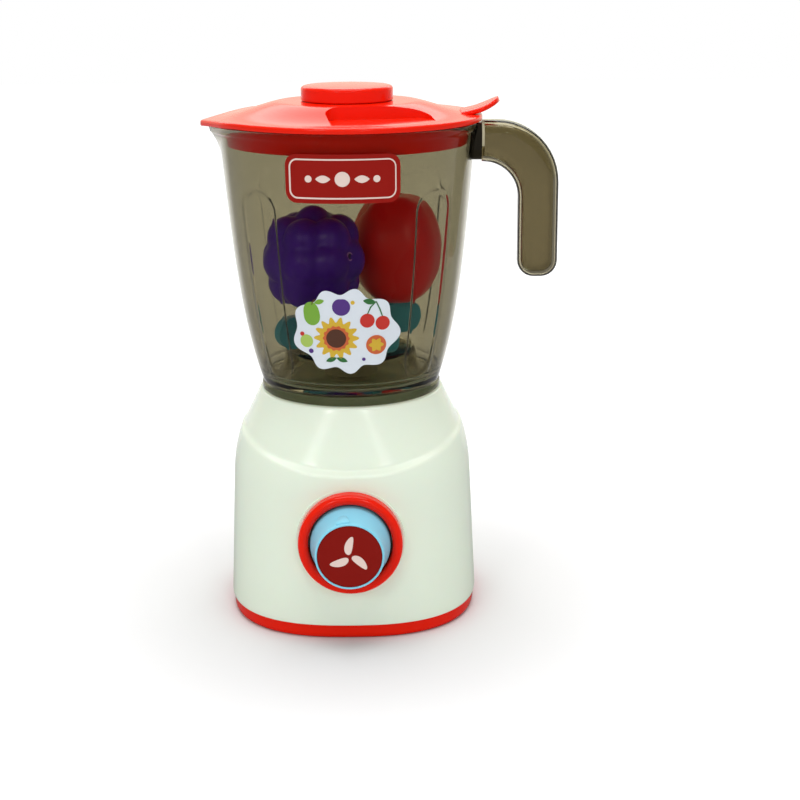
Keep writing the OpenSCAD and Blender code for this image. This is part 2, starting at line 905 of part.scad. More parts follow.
module rounded_window(w, z0, z1, r) {
    translate([-w / 2 + r, z0])
        square([w - 2 * r, z1 - z0]);
    translate([-w / 2, z0 + r])
        square([w, z1 - z0 - 2 * r]);
    for (x = [-1, 1], z = [z0 + r, z1 - r])
        translate([x * (w / 2 - r), z])
            circle(r);
}

module jug_body() {
    color(smoke)
        difference() {
            union() {
                jug_outside();
                spout(0);
                translate([jug_foot_r, 1 - handle_d / 2, handle_top_z - handle_t + 1])
                    cube([root_x - jug_foot_r, handle_d - 2, handle_t - 2]);
            }
            jug_inside();
            spout(jug_wall);
            jug_socket();
            rod(spindle_bush_r + press_gap, jug_floor_z, pedestal_z + 1);
            for (side = [0, 180], a = [-flute_angle, flute_angle])
                window_on_wall(side + a, -flute_d, 3, flute_low_z - 1, flute_high_z + 1)
                    rounded_window(flute_w, flute_low_z, flute_high_z, flute_w / 2 - 0.2);
        }
}

module jug_label() {
    color(disc_red)
        window_on_wall(0, press_gap, label_t, label_low_z - 1, label_high_z + 1)
            rounded_window(label_w, label_low_z, label_high_z, label_corner);
}

// Sticker of two overlapping rounded windows, one tall and one wide
module jug_sticker() {
    low = sticker_z - sticker_h / 2;
    high = sticker_z + sticker_h / 2;
    color("white")
        window_on_wall(0, press_gap, label_t, low - 1, high + 1)
            union() {
                rounded_window(sticker_w * 0.62, low, high, sticker_corner);
                rounded_window(sticker_w, low + sticker_h * 0.2, low + sticker_h * 0.7, sticker_side_corner);
            }
}

// Outline of the handle in its own plane, standing in by d, counter-clockwise
function handle_outline(d, x0) =
    let (
        bend_in = handle_bend - 12,
        grip_x = handle_reach - handle_t,
        leg_z = handle_top_z - handle_t,
        end_r = 6
    )
    concat(
        [[x0, leg_z + d]],
        arc(grip_x - bend_in, leg_z - bend_in, bend_in + d, 90, 0, 8),
        arc(grip_x + end_r, handle_end_z + end_r, end_r - d, 180, 270, 4),
        arc(handle_reach - end_r, handle_end_z + end_r, end_r - d, 270, 360, 4),
        arc(handle_reach - handle_bend, handle_top_z - handle_bend, handle_bend - d, 0, 90, 8),
        [[x0, handle_top_z - d]]
    );

// The handle's solid form, standing in by inset, with soft edges
module handle_form(inset, x0) {
    soft = 5 - inset;
    half = handle_d / 2 - inset;
    turns = [for (i = [0:4]) 90 * i / 4];
    levels = concat(
        [for (a = turns) [soft * (1 - sin(a)), -half + soft * (1 - cos(a))]],
        [for (a = backwards(turns)) [soft * (1 - sin(a)), half - soft * (1 - cos(a))]]
    );
    rotate([90, 0, 0])
        loft([for (s = levels) [for (q = handle_outline(inset + s[0], x0)) [q[0], q[1], s[1]]]]);
}

module jug_handle() {
    color(smoke)
        difference() {
            handle_form(0, root_x + press_gap);
            handle_form(handle_wall, root_x - 1);
        }
}

module spindle_bush() {
    color(gear_cream)
        difference() {
            union() {
                rod(spindle_bush_r, pedestal_z - jug_wall - 2, pedestal_z + 1);
                rod(spindle_flange_r, pedestal_z + press_gap, pedestal_z + spindle_flange_t);
            }
            rod(spindle_r + run_gap, 0, far);
        }
}

// ---- Mixing wheel ----

module mixing_wheel() {
    hub_top = wheel_top_z - 1;
    color(knob_blue)
        difference() {
            union() {
                rod(8, wheel_z, hub_top);
                rod(20, wheel_z, wheel_z + 2);
                for (i = [0:paddles - 1])
                    rotate([0, 0, wheel_turn + 360 * i / paddles])
                        translate([0, paddle_t / 2, 0])
                            rotate([90, 0, 0])
                                linear_extrude(height = paddle_t) {
                                    translate([0, wheel_z])
                                        square([wheel_r - wheel_h / 2, wheel_h]);
                                    translate([wheel_r - wheel_h / 2, wheel_z + wheel_h / 2])
                                        circle(wheel_h / 2);
                                }
            }
            rod(spindle_r + press_gap, 0, far);
            rod(nut_r + lift_gap, hub_top, far);
        }
}

module wheel_spindle() {
    color(steel)
        rod(spindle_r, dog_low_z + dog_depth, wheel_top_z + 1);
}

// Cup under the jug that drops over the cross-shaped driver
module wheel_dog() {
    color(gear_cream)
        difference() {
            rod(dog_r, dog_low_z, dog_top_z);
            rod(shaft_r + 2 + lift_gap, 0, dog_low_z + dog_depth);
            for (a = [0, 90])
                rotate([0, 0, a])
                    translate([-coupler_r - lift_gap, -coupler_wing / 2 - lift_gap, 0])
                        cube([2 * (coupler_r + lift_gap), coupler_wing + 2 * lift_gap, dog_low_z + dog_depth]);
            rod(spindle_r + press_gap, dog_low_z + dog_depth - 1, far);
        }
}

module wheel_nut() {
    base = wheel_top_z - 1 + press_gap;
    color(knob_blue)
        difference() {
            turned(concat(
                [[0, base], [nut_r, base]],
                [for (a = [0:15:90]) [nut_r * cos(a), base + 1.4 + 2.2 * sin(a)]]
            ));
            rod(spindle_r + press_gap, 0, wheel_top_z + 1 + press_gap);
        }
}

// ---- Lid ----

// Flat outline of a disc with a pointed beak towards -X
module drop(r, tip_x, tip_r) {
    t = acos((r - tip_r) / -tip_x);
    circle(r);
    translate([tip_x, 0])
        circle(tip_r);
    polygon([
        [-r * cos(t), r * sin(t)],
        [tip_x - tip_r * cos(t), tip_r * sin(t)],
        [tip_x - tip_r * cos(t), -tip_r * sin(t)],
        [-r * cos(t), -r * sin(t)]
    ]);
}

// Height of the lid's top at radius r
function lid_top(r) =
    let (f = (r - lid_flat_r) / (lid_r - 1 - lid_flat_r))
        f <= 0 ? lid_flat_z : lid_flat_z - lid_rise * pow(sin(90 * min(f, 1)), 1.3);

// The lid's crown between height z0 and its top, out to r1, standing in by inset
module crown_form(r1, z0, inset) {
    turned(concat(
        [[0, z0], [r1, z0]],
        [for (i = [10:-1:0]) let (r = mix(lid_flat_r, r1, i / 10)) [r, lid_top(r) - inset]],
        [[0, lid_flat_z - inset]]
    ));
}

// Pocket for the fingertips on one side, grown by grow
module pocket(side, grow, z0) {
    mirror([0, side, 0])
        translate([pocket_x + pocket_l / 2, -far / 2, z0])
            linear_extrude(height = far / 4)
                translate([0, far / 2 - pocket_y + grow - 100])
                    rounded_window(pocket_l + 2 * grow, 0, 100, pocket_corner + grow);
}

module lid() {
    color(trim_red)
        difference() {
            union() {
                difference() {
                    crown_form(lid_r - 0.6, lip_z, 0);
                    crown_form(skirt_r - lid_wall, lip_z - 1, lid_wall);
                }
                difference() {
                    translate([0, 0, lip_z])
                        linear_extrude(height = lid_lip_h)
                            drop(lid_r, beak_x, beak_r);
                    rod(skirt_r - 1, 0, far * 2);
                }
                difference() {
                    rod(skirt_r, lip_z - skirt_h, lip_z + 0.5);
                    rod(skirt_r - lid_wall, 0, far * 2);
                }
                intersection() {
                    crown_form(lid_r - 0.6, lip_z, 0);
                    union() {
                        pocket(0, lid_wall, pocket_floor_z - lid_wall);
                        pocket(1, lid_wall, pocket_floor_z - lid_wall);
                    }
                }
                rod(cap_bore_r + lid_wall, lid_flat_z - 6, lid_flat_z - 1);
                translate([lid_r - 9, 0, lip_top_z - 0.8])
                    rotate([0, -tab_tilt, 0])
                        linear_extrude(height = tab_t) {
                            translate([0, -tab_w / 2])
                                square([tab_l - tab_w / 2, tab_w]);
                            translate([tab_l - tab_w / 2, 0])
                                circle(tab_w / 2);
                        }
            }
            pocket(0, 0, pocket_floor_z);
            pocket(1, 0, pocket_floor_z);
            rod(cap_bore_r, 0, far * 2);
        }
}

module lid_cap() {
    low = lid_flat_z + 0.2;
    top = low + cap_h;
    stem = cap_bore_r - lift_gap;
    color(trim_red)
        turned(concat(
            [
                [0, top - lid_wall],
                [stem - lid_wall, top - lid_wall],
                [stem - lid_wall, low - cap_stem_h],
                [stem, low - cap_stem_h],
                [stem, low],
                [cap_r, low]
            ],
            arc(cap_r - 1.6, top - 1.6, 1.6, 0, 90, 4),
            [[0, top + 0.4]]
        ));
}

// ---- Play foods ----

// A ball with soft lobes: rx and rz are its radii, the lobes number around and over it
module lobed_ball(rx, rz, around, over, depth) {
    n = 32;
    m = 16;
    loft([
        for (j = [0:m])
            let (v = mix(-86, 86, j / m))
                [for (i = [0:n - 1])
                    let (
                        u = 360 * i / n,
                        bump = 1 - depth * (1 - abs(sin(u * around / 2)) * (over > 0 ? abs(cos(v * over)) : 1))
                    )
                        [rx * cos(v) * cos(u) * bump, rx * cos(v) * sin(u) * bump, rz * sin(v) / sin(86)]]
    ]);
}

module berry_cluster() {
    color("#5b2a9a")
        translate([berry_x, berry_y, food_z + berry_half_h])
            lobed_ball(berry_r, berry_half_h, 8, 0, 0.09);
}

module tomato() {
    color("#d3201a")
        translate([tomato_x, tomato_y, food_z + tomato_half_h])
            lobed_ball(tomato_r, tomato_half_h, 5, 0, 0.08);
}

base_shell();
base_plate();
plate_screws();
dial_bezel();
gear_bracket();
bracket_screws();
drive_bush();
click_spring();
click_screw();
dial_knob();
dial_disc();
crown_gear();
crown_washer();
crown_screw();
drive_shaft();
drive_pinion();
click_wheel();
drive_coupler();
shaft_clip();
jug_body();
jug_handle();
jug_label();
jug_sticker();
spindle_bush();
mixing_wheel();
wheel_spindle();
wheel_dog();
wheel_nut();
lid();
lid_cap();
berry_cluster();
tomato();
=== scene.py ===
"""Looks of a toy blender: white base, red trim, blue knob, smoked jug with play foods, red lid.

Lengths are millimetres in the named values and in every function that makes a shape, and metres in
Blender. The frame's axes hold: +Z up, the dial faces -Y, the handle points to +X, the spout to -X.
"""
import math

import bmesh
import bpy
from mathutils import Matrix, Vector


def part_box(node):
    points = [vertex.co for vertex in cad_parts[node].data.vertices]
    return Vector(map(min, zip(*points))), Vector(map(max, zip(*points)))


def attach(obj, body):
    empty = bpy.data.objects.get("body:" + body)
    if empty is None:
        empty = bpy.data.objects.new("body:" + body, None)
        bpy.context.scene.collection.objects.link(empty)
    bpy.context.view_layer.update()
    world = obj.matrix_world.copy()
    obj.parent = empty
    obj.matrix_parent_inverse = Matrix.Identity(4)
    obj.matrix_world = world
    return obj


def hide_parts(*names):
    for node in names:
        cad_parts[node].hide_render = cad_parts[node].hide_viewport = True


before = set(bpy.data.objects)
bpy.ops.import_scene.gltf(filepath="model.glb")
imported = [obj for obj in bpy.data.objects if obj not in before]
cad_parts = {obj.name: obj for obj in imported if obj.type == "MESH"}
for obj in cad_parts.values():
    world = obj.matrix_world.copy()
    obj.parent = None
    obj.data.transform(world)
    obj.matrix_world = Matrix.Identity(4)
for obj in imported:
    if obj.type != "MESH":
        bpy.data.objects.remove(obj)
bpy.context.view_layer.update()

MM = 0.001


def low(node, axis):
    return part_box(node)[0][axis] / MM


def high(node, axis):
    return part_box(node)[1][axis] / MM


# ---------------- sizes, read from the frame
BASE_HALF = high("base_shell", 0) + 0.05
SHELL_LOW = low("base_shell", 2)
SEAT_Z = high("base_shell", 2)
JUG_FOOT_Z = low("jug_body", 2)
JUG_RIM_Z = high("jug_body", 2)
JUG_RIM_R = high("jug_body", 1)
LID_LIP_Z = JUG_RIM_Z + 0.3
LID_SKIRT_Z = low("lid", 2)
LID_R = high("lid", 1)
LID_TIP_X = low("lid", 0)
CAP_TOP_Z = high("lid_cap", 2)
CAP_R = high("lid_cap", 0)
HANDLE_X1 = high("jug_handle", 0)
HANDLE_Z0 = low("jug_handle", 2)
HANDLE_Z1 = high("jug_handle", 2)
HANDLE_DEPTH = high("jug_handle", 1) - low("jug_handle", 1)
DIAL_Z = (low("dial_bezel", 2) + high("dial_bezel", 2)) / 2
BEZEL_R = high("dial_bezel", 0)
BEZEL_Y = low("dial_bezel", 1)
WELL_Y = high("dial_bezel", 1)
KNOB_R = high("dial_knob", 0)
KNOB_Y = low("dial_knob", 1)
DISC_R = high("dial_disc", 0)


# ---------------- the camera, as the photo was taken
FRAME_PX = 800
FOCAL_PX = 1600
SENSOR_MM = 36
CAMERA_DISTANCE = 724.0
CAMERA_Z = 301.0
CAMERA_ROUND = math.radians(1.5)
CAMERA_PITCH = math.radians(15.84)
CAMERA_YAW = math.radians(1.80) - CAMERA_ROUND
CAMERA_ROLL = math.radians(-0.39)


def make_camera():
    data = bpy.data.cameras.new("camera")
    data.sensor_width = SENSOR_MM
    data.lens = SENSOR_MM * FOCAL_PX / FRAME_PX
    data.clip_start = 0.01
    camera = bpy.data.objects.new("camera", data)
    bpy.context.collection.objects.link(camera)
    p, y, r = CAMERA_PITCH, CAMERA_YAW, CAMERA_ROLL
    ahead = Vector((math.sin(y) * math.cos(p), math.cos(y) * math.cos(p), -math.sin(p)))
    right = Vector((math.cos(y), -math.sin(y), 0))
    up = Vector((math.sin(y) * math.sin(p), math.cos(y) * math.sin(p), math.cos(p)))
    x_axis = right * math.cos(r) + up * math.sin(r)
    y_axis = up * math.cos(r) - right * math.sin(r)
    turn = Matrix((x_axis, y_axis, -ahead)).transposed().to_4x4()
    at = Vector((math.sin(CAMERA_ROUND) * CAMERA_DISTANCE,
                 -math.cos(CAMERA_ROUND) * CAMERA_DISTANCE, CAMERA_Z))
    camera.matrix_world = Matrix.Translation(at * MM) @ turn
    bpy.context.scene.camera = camera


# ---------------- small mathematics
def mix(a, b, f):
    return a + (b - a) * f


def mix3(a, b, f):
    return tuple(mix(p, q, f) for p, q in zip(a, b))


def curve3(a, b, c, f):
    return mix3(mix3(a, b, f), mix3(b, c, f), f)


def steps(n, start=0.0, end=1.0):
    """n + 1 even values from start to end."""
    return [mix(start, end, i / n) for i in range(n + 1)]


def angles(n):
    """n even angles round a circle, in radians."""
    return [2 * math.pi * i / n for i in range(n)]


def climb(start, end, x):
    """0 up to start, 1 from end on, and even between them."""
    return min(max((x - start) / (end - start), 0.0), 1.0)


def smooth(start, end, x):
    t = climb(start, end, x)
    return t * t * (3 - 2 * t)


def on_ring(r, t, z):
    return (r * math.cos(t), r * math.sin(t), z)


def arc(cx, cz, r, start, end, n):
    """Points of an arc, angles in degrees."""
    return [(cx + r * math.cos(math.radians(a)), cz + r * math.sin(math.radians(a)))
            for a in steps(n, start, end)]


def round_box_distance(x, y, half_x, half_y, r):
    """Distance from the outline of a round-cornered rectangle, negative inside it."""
    qx, qy = abs(x) - half_x + r, abs(y) - half_y + r
    outside = math.hypot(max(qx, 0), max(qy, 0))
    return outside + min(max(qx, qy), 0) - r


# ---------------- meshes
def shade(mesh, angle):
    """Smooth shading, with sharp edges above that many degrees."""
    mesh.shade_smooth()
    mesh.set_sharp_from_angle(angle=math.radians(angle))


def new_object(name, verts, faces, smooth_angle=40, turn_out=True):
    """A smooth mesh object. Its faces are turned outwards, unless it has a closed hollow."""
    mesh = bpy.data.meshes.new(name)
    mesh.from_pydata([tuple(c * MM for c in v) for v in verts], [], faces)
    if turn_out:
        bm = bmesh.new()
        bm.from_mesh(mesh)
        bmesh.ops.recalc_face_normals(bm, faces=bm.faces)
        bm.to_mesh(mesh)
        bm.free()
    shade(mesh, smooth_angle)
    obj = bpy.data.objects.new(name, mesh)
    bpy.context.collection.objects.link(obj)
    return obj


def grid(rows, close_rows=False):
    """Vertices and faces through rows of points; every row is a closed ring.

    The rings run counter-clockwise seen from the side that the rows move towards.
    """
    n = len(rows[0])
    verts = [p for row in rows for p in row]
    faces = []
    for j in range(len(rows) if close_rows else len(rows) - 1):
        k = (j + 1) % len(rows)
        for i in range(n):
            m = (i + 1) % n
            faces.append((j * n + i, j * n + m, k * n + m, k * n + i))
    return verts, faces


def capped(rows):
    """A grid whose first and last rings are closed by a fan."""
    verts, faces = grid(rows)
    n = len(rows[0])
    for ring, flip in ((0, True), (len(rows) - 1, False)):
        hub = len(verts)
        verts.append(tuple(sum(p[c] for p in rows[ring]) / n for c in range(3)))
        for i in range(n):
            a, b = ring * n + i, ring * n + (i + 1) % n
            faces.append((b, a, hub) if flip else (a, b, hub))
    return verts, faces


def ended(rows):
    """A grid whose first and last rings are closed by one face each."""
    verts, faces = grid(rows)
    n = len(rows[0])
    faces.append(tuple(range(n))[::-1])
    faces.append(tuple(len(verts) - n + i for i in range(n)))
    return verts, faces


def around(r, z, n):
    return [on_ring(r, t, z) for t in angles(n)]


def turned(profile, n, place=lambda p: p):
    """A ring of revolution round a closed profile of (radius, height) points."""
    return grid([[place(p) for p in around(r, z, n)] for r, z in profile], close_rows=True)


def spun(profile, n, place=lambda p: p):
    """A solid of revolution, from the profile's first point near the axis to its last."""
    return capped([[place(p) for p in around(r, z, n)] for r, z in profile])


def joined(*parts):
    """Several (verts, faces) put in one list."""
    verts, faces = [], []
    for v, f in parts:
        faces += [tuple(i + len(verts) for i in face) for face in f]
        verts += v
    return verts, faces


def on_dial(p):
    """From a space with z along the dial's axis, front to back, to the frame."""
    return (p[0], p[2], DIAL_Z - p[1])


def apply_modifiers(obj):
    bpy.context.view_layer.update()
    deps = bpy.context.evaluated_depsgraph_get()
    mesh = bpy.data.meshes.new_from_object(obj.evaluated_get(deps))
    obj.modifiers.clear()
    obj.data = mesh


def bevel(obj, width):
    mod = obj.modifiers.new("bevel", "BEVEL")
    mod.width = width * MM
    mod.segments = 3
    mod.limit_method = "ANGLE"
    mod.angle_limit = math.radians(35)
    apply_modifiers(obj)


def boolean(obj, tool, operation):
    """Cut the tool out of the object, add it or keep what both share. The tool is used up."""
    mod = obj.modifiers.new("boolean", "BOOLEAN")
    mod.operation = operation
    mod.solver = "EXACT"
    mod.object = tool
    apply_modifiers(obj)
    bpy.data.objects.remove(tool)


def add(name, part, mat, body, replaces=(), smooth_angle=40, turn_out=True):
    obj = new_object(name, *part, smooth_angle, turn_out)
    obj.data.materials.append(mat)
    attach(obj, body)
    if replaces:
        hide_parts(*replaces)
    return obj


# ---------------- materials
# DRIFT is the broad noise that moves gloss and colour. SMOKE_SHADE is the power that makes the smoke's
# colour pale for shadow rays. GRAIN_DEPTH is in metres.
DRIFT_SCALE = 28.0
DRIFT_RANGE = (0.3, 0.7)
GRAIN_DEPTH = 0.00005
SMOKE_IOR = 1.42
SMOKE_TINT = (0.12, 0.12, 0.12, 1)
SMOKE_SHADE = 0.15
WHITE = (1, 1, 1, 1)
PRINT_COLOURS = {
    "cream": (236, 214, 204), "yellow": (214, 176, 40), "orange": (206, 96, 42), "brown": (84, 44, 20),
    "green": (120, 172, 50), "leaf": (40, 110, 48), "lime": (170, 200, 90), "red": (200, 36, 22),
    "purple": (80, 40, 130)}


def srgb(r, g, b):
    """Linear colour of an 8-bit screen colour."""
    def line(c):
        c /= 255
        return c / 12.92 if c <= 0.04045 else ((c + 0.055) / 1.055) ** 2.4
    return (line(r), line(g), line(b), 1)


def feed(tree, n, inputs):
    """Give each of the node's sockets its value, or the output that feeds it."""
    for key, value in inputs.items():
        if isinstance(value, bpy.types.NodeSocket):
            tree.links.new(value, n.inputs[key])
        else:
            n.inputs[key].default_value = value
    return n


def node(tree, kind, inputs=None, **settings):
    n = tree.nodes.new(kind)
    for key, value in settings.items():
        setattr(n, key, value)
    return feed(tree, n, inputs or {})


def maths(tree, operation, a, b):
    return node(tree, "ShaderNodeMath", {0: a, 1: b}, operation=operation).outputs[0]


def ramp(tree, value, start, end, low_level, high_level):
    """low_level up to start, high_level from end on, and even between them."""
    return node(tree, "ShaderNodeMapRange", {
        "Value": value, "From Min": start, "From Max": end,
        "To Min": low_level, "To Max": high_level}).outputs["Result"]


def either(tree, factor, a, b):
    """Shader a where the factor is 0, and b where it is 1."""
    return node(tree, "ShaderNodeMixShader", {"Fac": factor, 1: a, 2: b}).outputs[0]


def plastic(name, colour, rough=0.3, grain=0.04, scuff=0.05, mottle=0.02, grain_scale=2600, **sockets):
    """Moulded plastic: fine grain, uneven gloss and slight colour drift."""
    mat = bpy.data.materials.new(name)
    mat.use_nodes = True
    tree = mat.node_tree
    place = node(tree, "ShaderNodeTexCoord").outputs["Object"]
    fine, broad = (
        node(tree, "ShaderNodeTexNoise", {"Vector": place, "Scale": scale, "Detail": detail}).outputs["Fac"]
        for scale, detail in ((grain_scale, 3.0), (DRIFT_SCALE, 4.0)))
    tint = node(tree, "ShaderNodeValToRGB", {"Fac": broad})
    for stop, position, share in zip(tint.color_ramp.elements, DRIFT_RANGE, (1 - mottle, 1 + mottle)):
        stop.position = position
        stop.color = tuple(min(c * share, 1) for c in colour[:3]) + (1,)
    bump = node(tree, "ShaderNodeBump", {"Height": fine, "Strength": grain, "Distance": GRAIN_DEPTH})
    feed(tree, tree.nodes["Principled BSDF"], {
        "Roughness": ramp(tree, broad, *DRIFT_RANGE, max(rough - scuff, 0.02), rough + scuff),
        "Base Color": tint.outputs["Color"], "Normal": bump.outputs["Normal"],
        **{key.replace("_", " "): value for key, value in sockets.items()}})
    return mat


def smoked(name, colour):
    """Clear smoked plastic. Lamps reach through it, so what it holds is lit."""
    mat = plastic(name, colour, rough=0.03, grain=0.01, scuff=0.012, mottle=0.03, grain_scale=120,
                  Transmission_Weight=1.0, IOR=SMOKE_IOR, Specular_Tint=SMOKE_TINT)
    tree = mat.node_tree
    path = node(tree, "ShaderNodeLightPath").outputs
    lit = maths(tree, "MAXIMUM", path["Is Shadow Ray"], path["Is Diffuse Ray"])
    pale = tuple(c ** SMOKE_SHADE for c in colour[:3]) + (1,)
    clear = node(tree, "ShaderNodeBsdfTransparent", {"Color": pale})
    solid = tree.nodes["Principled BSDF"]
    feed(tree, tree.nodes["Material Output"],
         {"Surface": either(tree, lit, solid.outputs["BSDF"], clear.outputs["BSDF"])})
    return mat


def make_materials():
    thin = {"rough": 0.4, "grain": 0.01}
    mats = {
        "white": plastic("white_plastic", srgb(236, 247, 228), rough=0.21, grain=0.02, scuff=0.01,
                         mottle=0.006, Subsurface_Weight=0.08, Subsurface_Scale=0.004),
        "red": plastic("red_plastic", srgb(238, 28, 2), rough=0.15, grain=0.02, scuff=0.02,
                       Specular_IOR_Level=0.22),
        "blue": plastic("blue_plastic", srgb(138, 216, 240), grain=0.02, Specular_IOR_Level=0.35),
        "smoke": smoked("smoked_plastic", (0.42, 0.395, 0.30, 1)),
        # A darker copy of the jug's smoke for its foot band: painted shade of the base's seat seen through
        # the foot.
        "deep_smoke": smoked("foot_painted_shade_smoked_plastic", (0.17, 0.17, 0.115, 1)),
        "grip_smoke": smoked("grip_smoked_plastic", (0.33, 0.295, 0.205, 1)),
        "thick_smoke": smoked("thick_smoked_plastic", (0.012, 0.010, 0.007, 1)),
        "label": plastic("label_film", srgb(152, 16, 4), Specular_IOR_Level=0.15, **thin),
        "disc": plastic("disc_film", srgb(136, 14, 4), Specular_IOR_Level=0.12, **thin),
        "film": plastic("sticker_film", srgb(222, 230, 238), **thin),
        "berry": plastic("berry_plastic", srgb(76, 22, 168), grain=0.01, Specular_IOR_Level=0.3),
        "eyelet": plastic("eyelet_plastic", srgb(176, 128, 206), rough=0.35, grain=0.01),
        # Nearly black purple: painted shade in the berry's needle hole.
        "dimple": plastic("hole_painted_shade_plastic", srgb(24, 8, 60), rough=0.5, grain=0.01),
        "tomato": plastic("tomato_plastic", srgb(222, 16, 8), grain=0.01, Specular_IOR_Level=0.3),
        "teal": plastic("wheel_plastic", srgb(60, 150, 170)),
        "cream": plastic("gear_plastic", srgb(232, 226, 204), rough=0.45, grain=0.08),
        "steel": plastic("zinc_steel", (0.62, 0.62, 0.64, 1), rough=0.35, grain=0.1, scuff=0.08,
                         mottle=0.06, Metallic=1.0),
    }
    for key, colour in PRINT_COLOURS.items():
        mats["print_" + key] = plastic(key + "_print", srgb(*colour), **thin)
    return mats


# ---------------- base
# The wall drafts up to TURN, turns in to the crease, which is lowest in front, steps in over the
# LEDGE and climbs the shoulder to the neck. SOFT values are the reach of each rounded edge.
BASE_TURNS = 192
SQUARENESS = 2.5
FOOT_IN = 0.3
FOOT_SOFT = 0.8
WALL_DRAFT = 0.0467
TURN_Z = 66.0
TURN_DRAW = 3.1
CREASE_Z = 75.5
CREASE_RISE = 11.5
CREASE_SOFT = 1.0
LEDGE_IN = 3.2
LEDGE_UP = 2.2
LEDGE_SOFT = 1.2
LEDGE_AT_SIDES = 0.2
NECK_Z = 104.0
NECK_R = 42.3
NECK_SOFT = 1.2
SEAT_R = NECK_R - 3.9
SEAT_BORE_R = 6.2
BASE_WALL = 2.4
PLATE_INSET = 1.0
PLATE_TOP_Z = SHELL_LOW + 1.4
WELL_R = BEZEL_R - 1.2
WELL_WALL = 2.0
WELL_FLOOR = 2.4
BEZEL_SOFT = 2.3


def plan(t):
    """Radius of the housing's rounded square plan, for a half width of 1."""
    c, s = abs(math.cos(t)), abs(math.sin(t))
    return (c ** SQUARENESS + s ** SQUARENESS) ** (-1 / SQUARENESS)


def wall_half(z):
    """Half the housing's width: a drafted wall that turns inwards near its top."""
    over = max(0.0, z - TURN_Z) / (CREASE_Z + CREASE_RISE - TURN_Z)
    return BASE_HALF - FOOT_IN - WALL_DRAFT * z - TURN_DRAW * over ** 2.2


def wall_point(t, z, inset):
    return on_ring((wall_half(z) - inset) * plan(t), t, z)


def shell_column(t, inset, fine):
    """Points up one meridian of the housing: foot edge, wall, crease, ledge, shoulder and neck."""
    crease = CREASE_Z + CREASE_RISE * (plan(t) * math.cos(t)) ** 2 - inset / 2
    share = mix(LEDGE_AT_SIDES, 1, abs(math.sin(t)))
    below = wall_point(t, crease - CREASE_SOFT, inset)
    corner = wall_point(t, crease, inset)
    ledge = wall_point(t, crease + LEDGE_UP * share, inset + LEDGE_IN * share)
    neck = on_ring(NECK_R - inset, t, NECK_Z - inset)
    rim = on_ring(NECK_R - inset - NECK_SOFT, t, NECK_Z - inset)
    flat = min(CREASE_SOFT / math.dist(corner, ledge), 0.45)
    above, foot_of_rise = mix3(corner, ledge, flat), mix3(ledge, corner, flat)
    run = math.dist(ledge, neck)
    up_rise, before_neck = mix3(ledge, neck, LEDGE_SOFT / run), mix3(neck, ledge, NECK_SOFT / run)
    foot = [wall_point(t, PLATE_TOP_Z + FOOT_SOFT * (1 - math.cos(a)), inset + FOOT_SOFT * (1 - math.sin(a)))
            for a in steps(fine // 2, 0, math.pi / 2)]
    wall = [wall_point(t, z, inset)
            for z in steps(6 * fine, PLATE_TOP_Z + FOOT_SOFT, crease - CREASE_SOFT)[1:]]
    soft = [curve3(below, corner, above, f) for f in steps(2 * fine)[1:]]
    soft += [curve3(foot_of_rise, ledge, up_rise, f) for f in steps(fine)]
    shoulder = [mix3(up_rise, before_neck, f) for f in steps(2 * fine)[1:]]
    edge = [curve3(before_neck, neck, rim, f) for f in steps(fine)[1:]]
    return foot + wall + soft + shoulder + edge


def housing_rows(inset, fine, top):
    """Rings up the housing and on over its top, which is given as (radius, height) points."""
    rows = zip(*(shell_column(t, inset, fine) for t in angles(BASE_TURNS)))
    return [list(row) for row in rows] + [around(r, z, BASE_TURNS) for r, z in top]


def make_base_shell(mats):
    """The housing: outside and inside as one thick wall, with the raised seat and the dial's well."""
    outer = housing_rows(0, 6, (
        (SEAT_R + 0.6, NECK_Z), (SEAT_R, NECK_Z + 0.4), (SEAT_R, SEAT_Z - 0.8),
        (SEAT_R - 0.25, SEAT_Z - 0.25), (SEAT_R - 0.8, SEAT_Z), (9.5, SEAT_Z), (SEAT_BORE_R, SEAT_Z)))
    in_r, in_z = SEAT_R - BASE_WALL, SEAT_Z - BASE_WALL
    inner = housing_rows(BASE_WALL, 2, (
        (in_r, NECK_Z - BASE_WALL), (in_r, in_z), (9.5, in_z), (SEAT_BORE_R, in_z)))
    part = grid(outer + inner[::-1], close_rows=True)
    shell = add("base_housing", part, mats["white"], "base", ["base_shell"])
    front_y = -BASE_HALF - 20
    hole = spun([(1, front_y), (WELL_R, front_y), (WELL_R, WELL_Y), (1, WELL_Y)], 96, on_dial)
    boolean(shell, new_object("well_cutter", *hole), "DIFFERENCE")
    shade(shell.data, 38)
    well_r, back_y = WELL_R + 0.1, WELL_Y + WELL_FLOOR
    profile = [(well_r, BEZEL_Y + 6), (well_r + WELL_WALL, BEZEL_Y + 6), (well_r + WELL_WALL, back_y),
               (4.2, back_y), (4.2, WELL_Y), (well_r, WELL_Y)]
    add("dial_well", turned(profile, 96, on_dial), mats["white"], "base")


def make_base_plate(mats):
    top_z = PLATE_TOP_Z - 0.03
    rows = [[wall_point(t, z, PLATE_INSET + d) for t in angles(BASE_TURNS)]
            for d, z in ((40, 0.0), (2.4, 0.0), (1.5, 0.12), (0.85, 0.5), (0.35, 1.1), (0.08, 1.9), (0, 2.8),
                         (0, top_z), (4, top_z), (40, top_z))]
    add("base_foot_plate", capped(rows), mats["red"], "base", ["base_plate"])


def make_bezel(mats):
    inner_r, back_r = BEZEL_R - 2 * BEZEL_SOFT, BEZEL_R - 1.3
    profile = [(inner_r, WELL_Y)]
    profile += arc(BEZEL_R - BEZEL_SOFT, BEZEL_Y + BEZEL_SOFT, BEZEL_SOFT, 180, 360, 24)
    profile += [(BEZEL_R, BEZEL_Y + 8.2), (back_r, BEZEL_Y + 8.4), (back_r, WELL_Y)]
    add("dial_ring", turned(profile, 160, on_dial), mats["red"], "base", ["dial_bezel"])


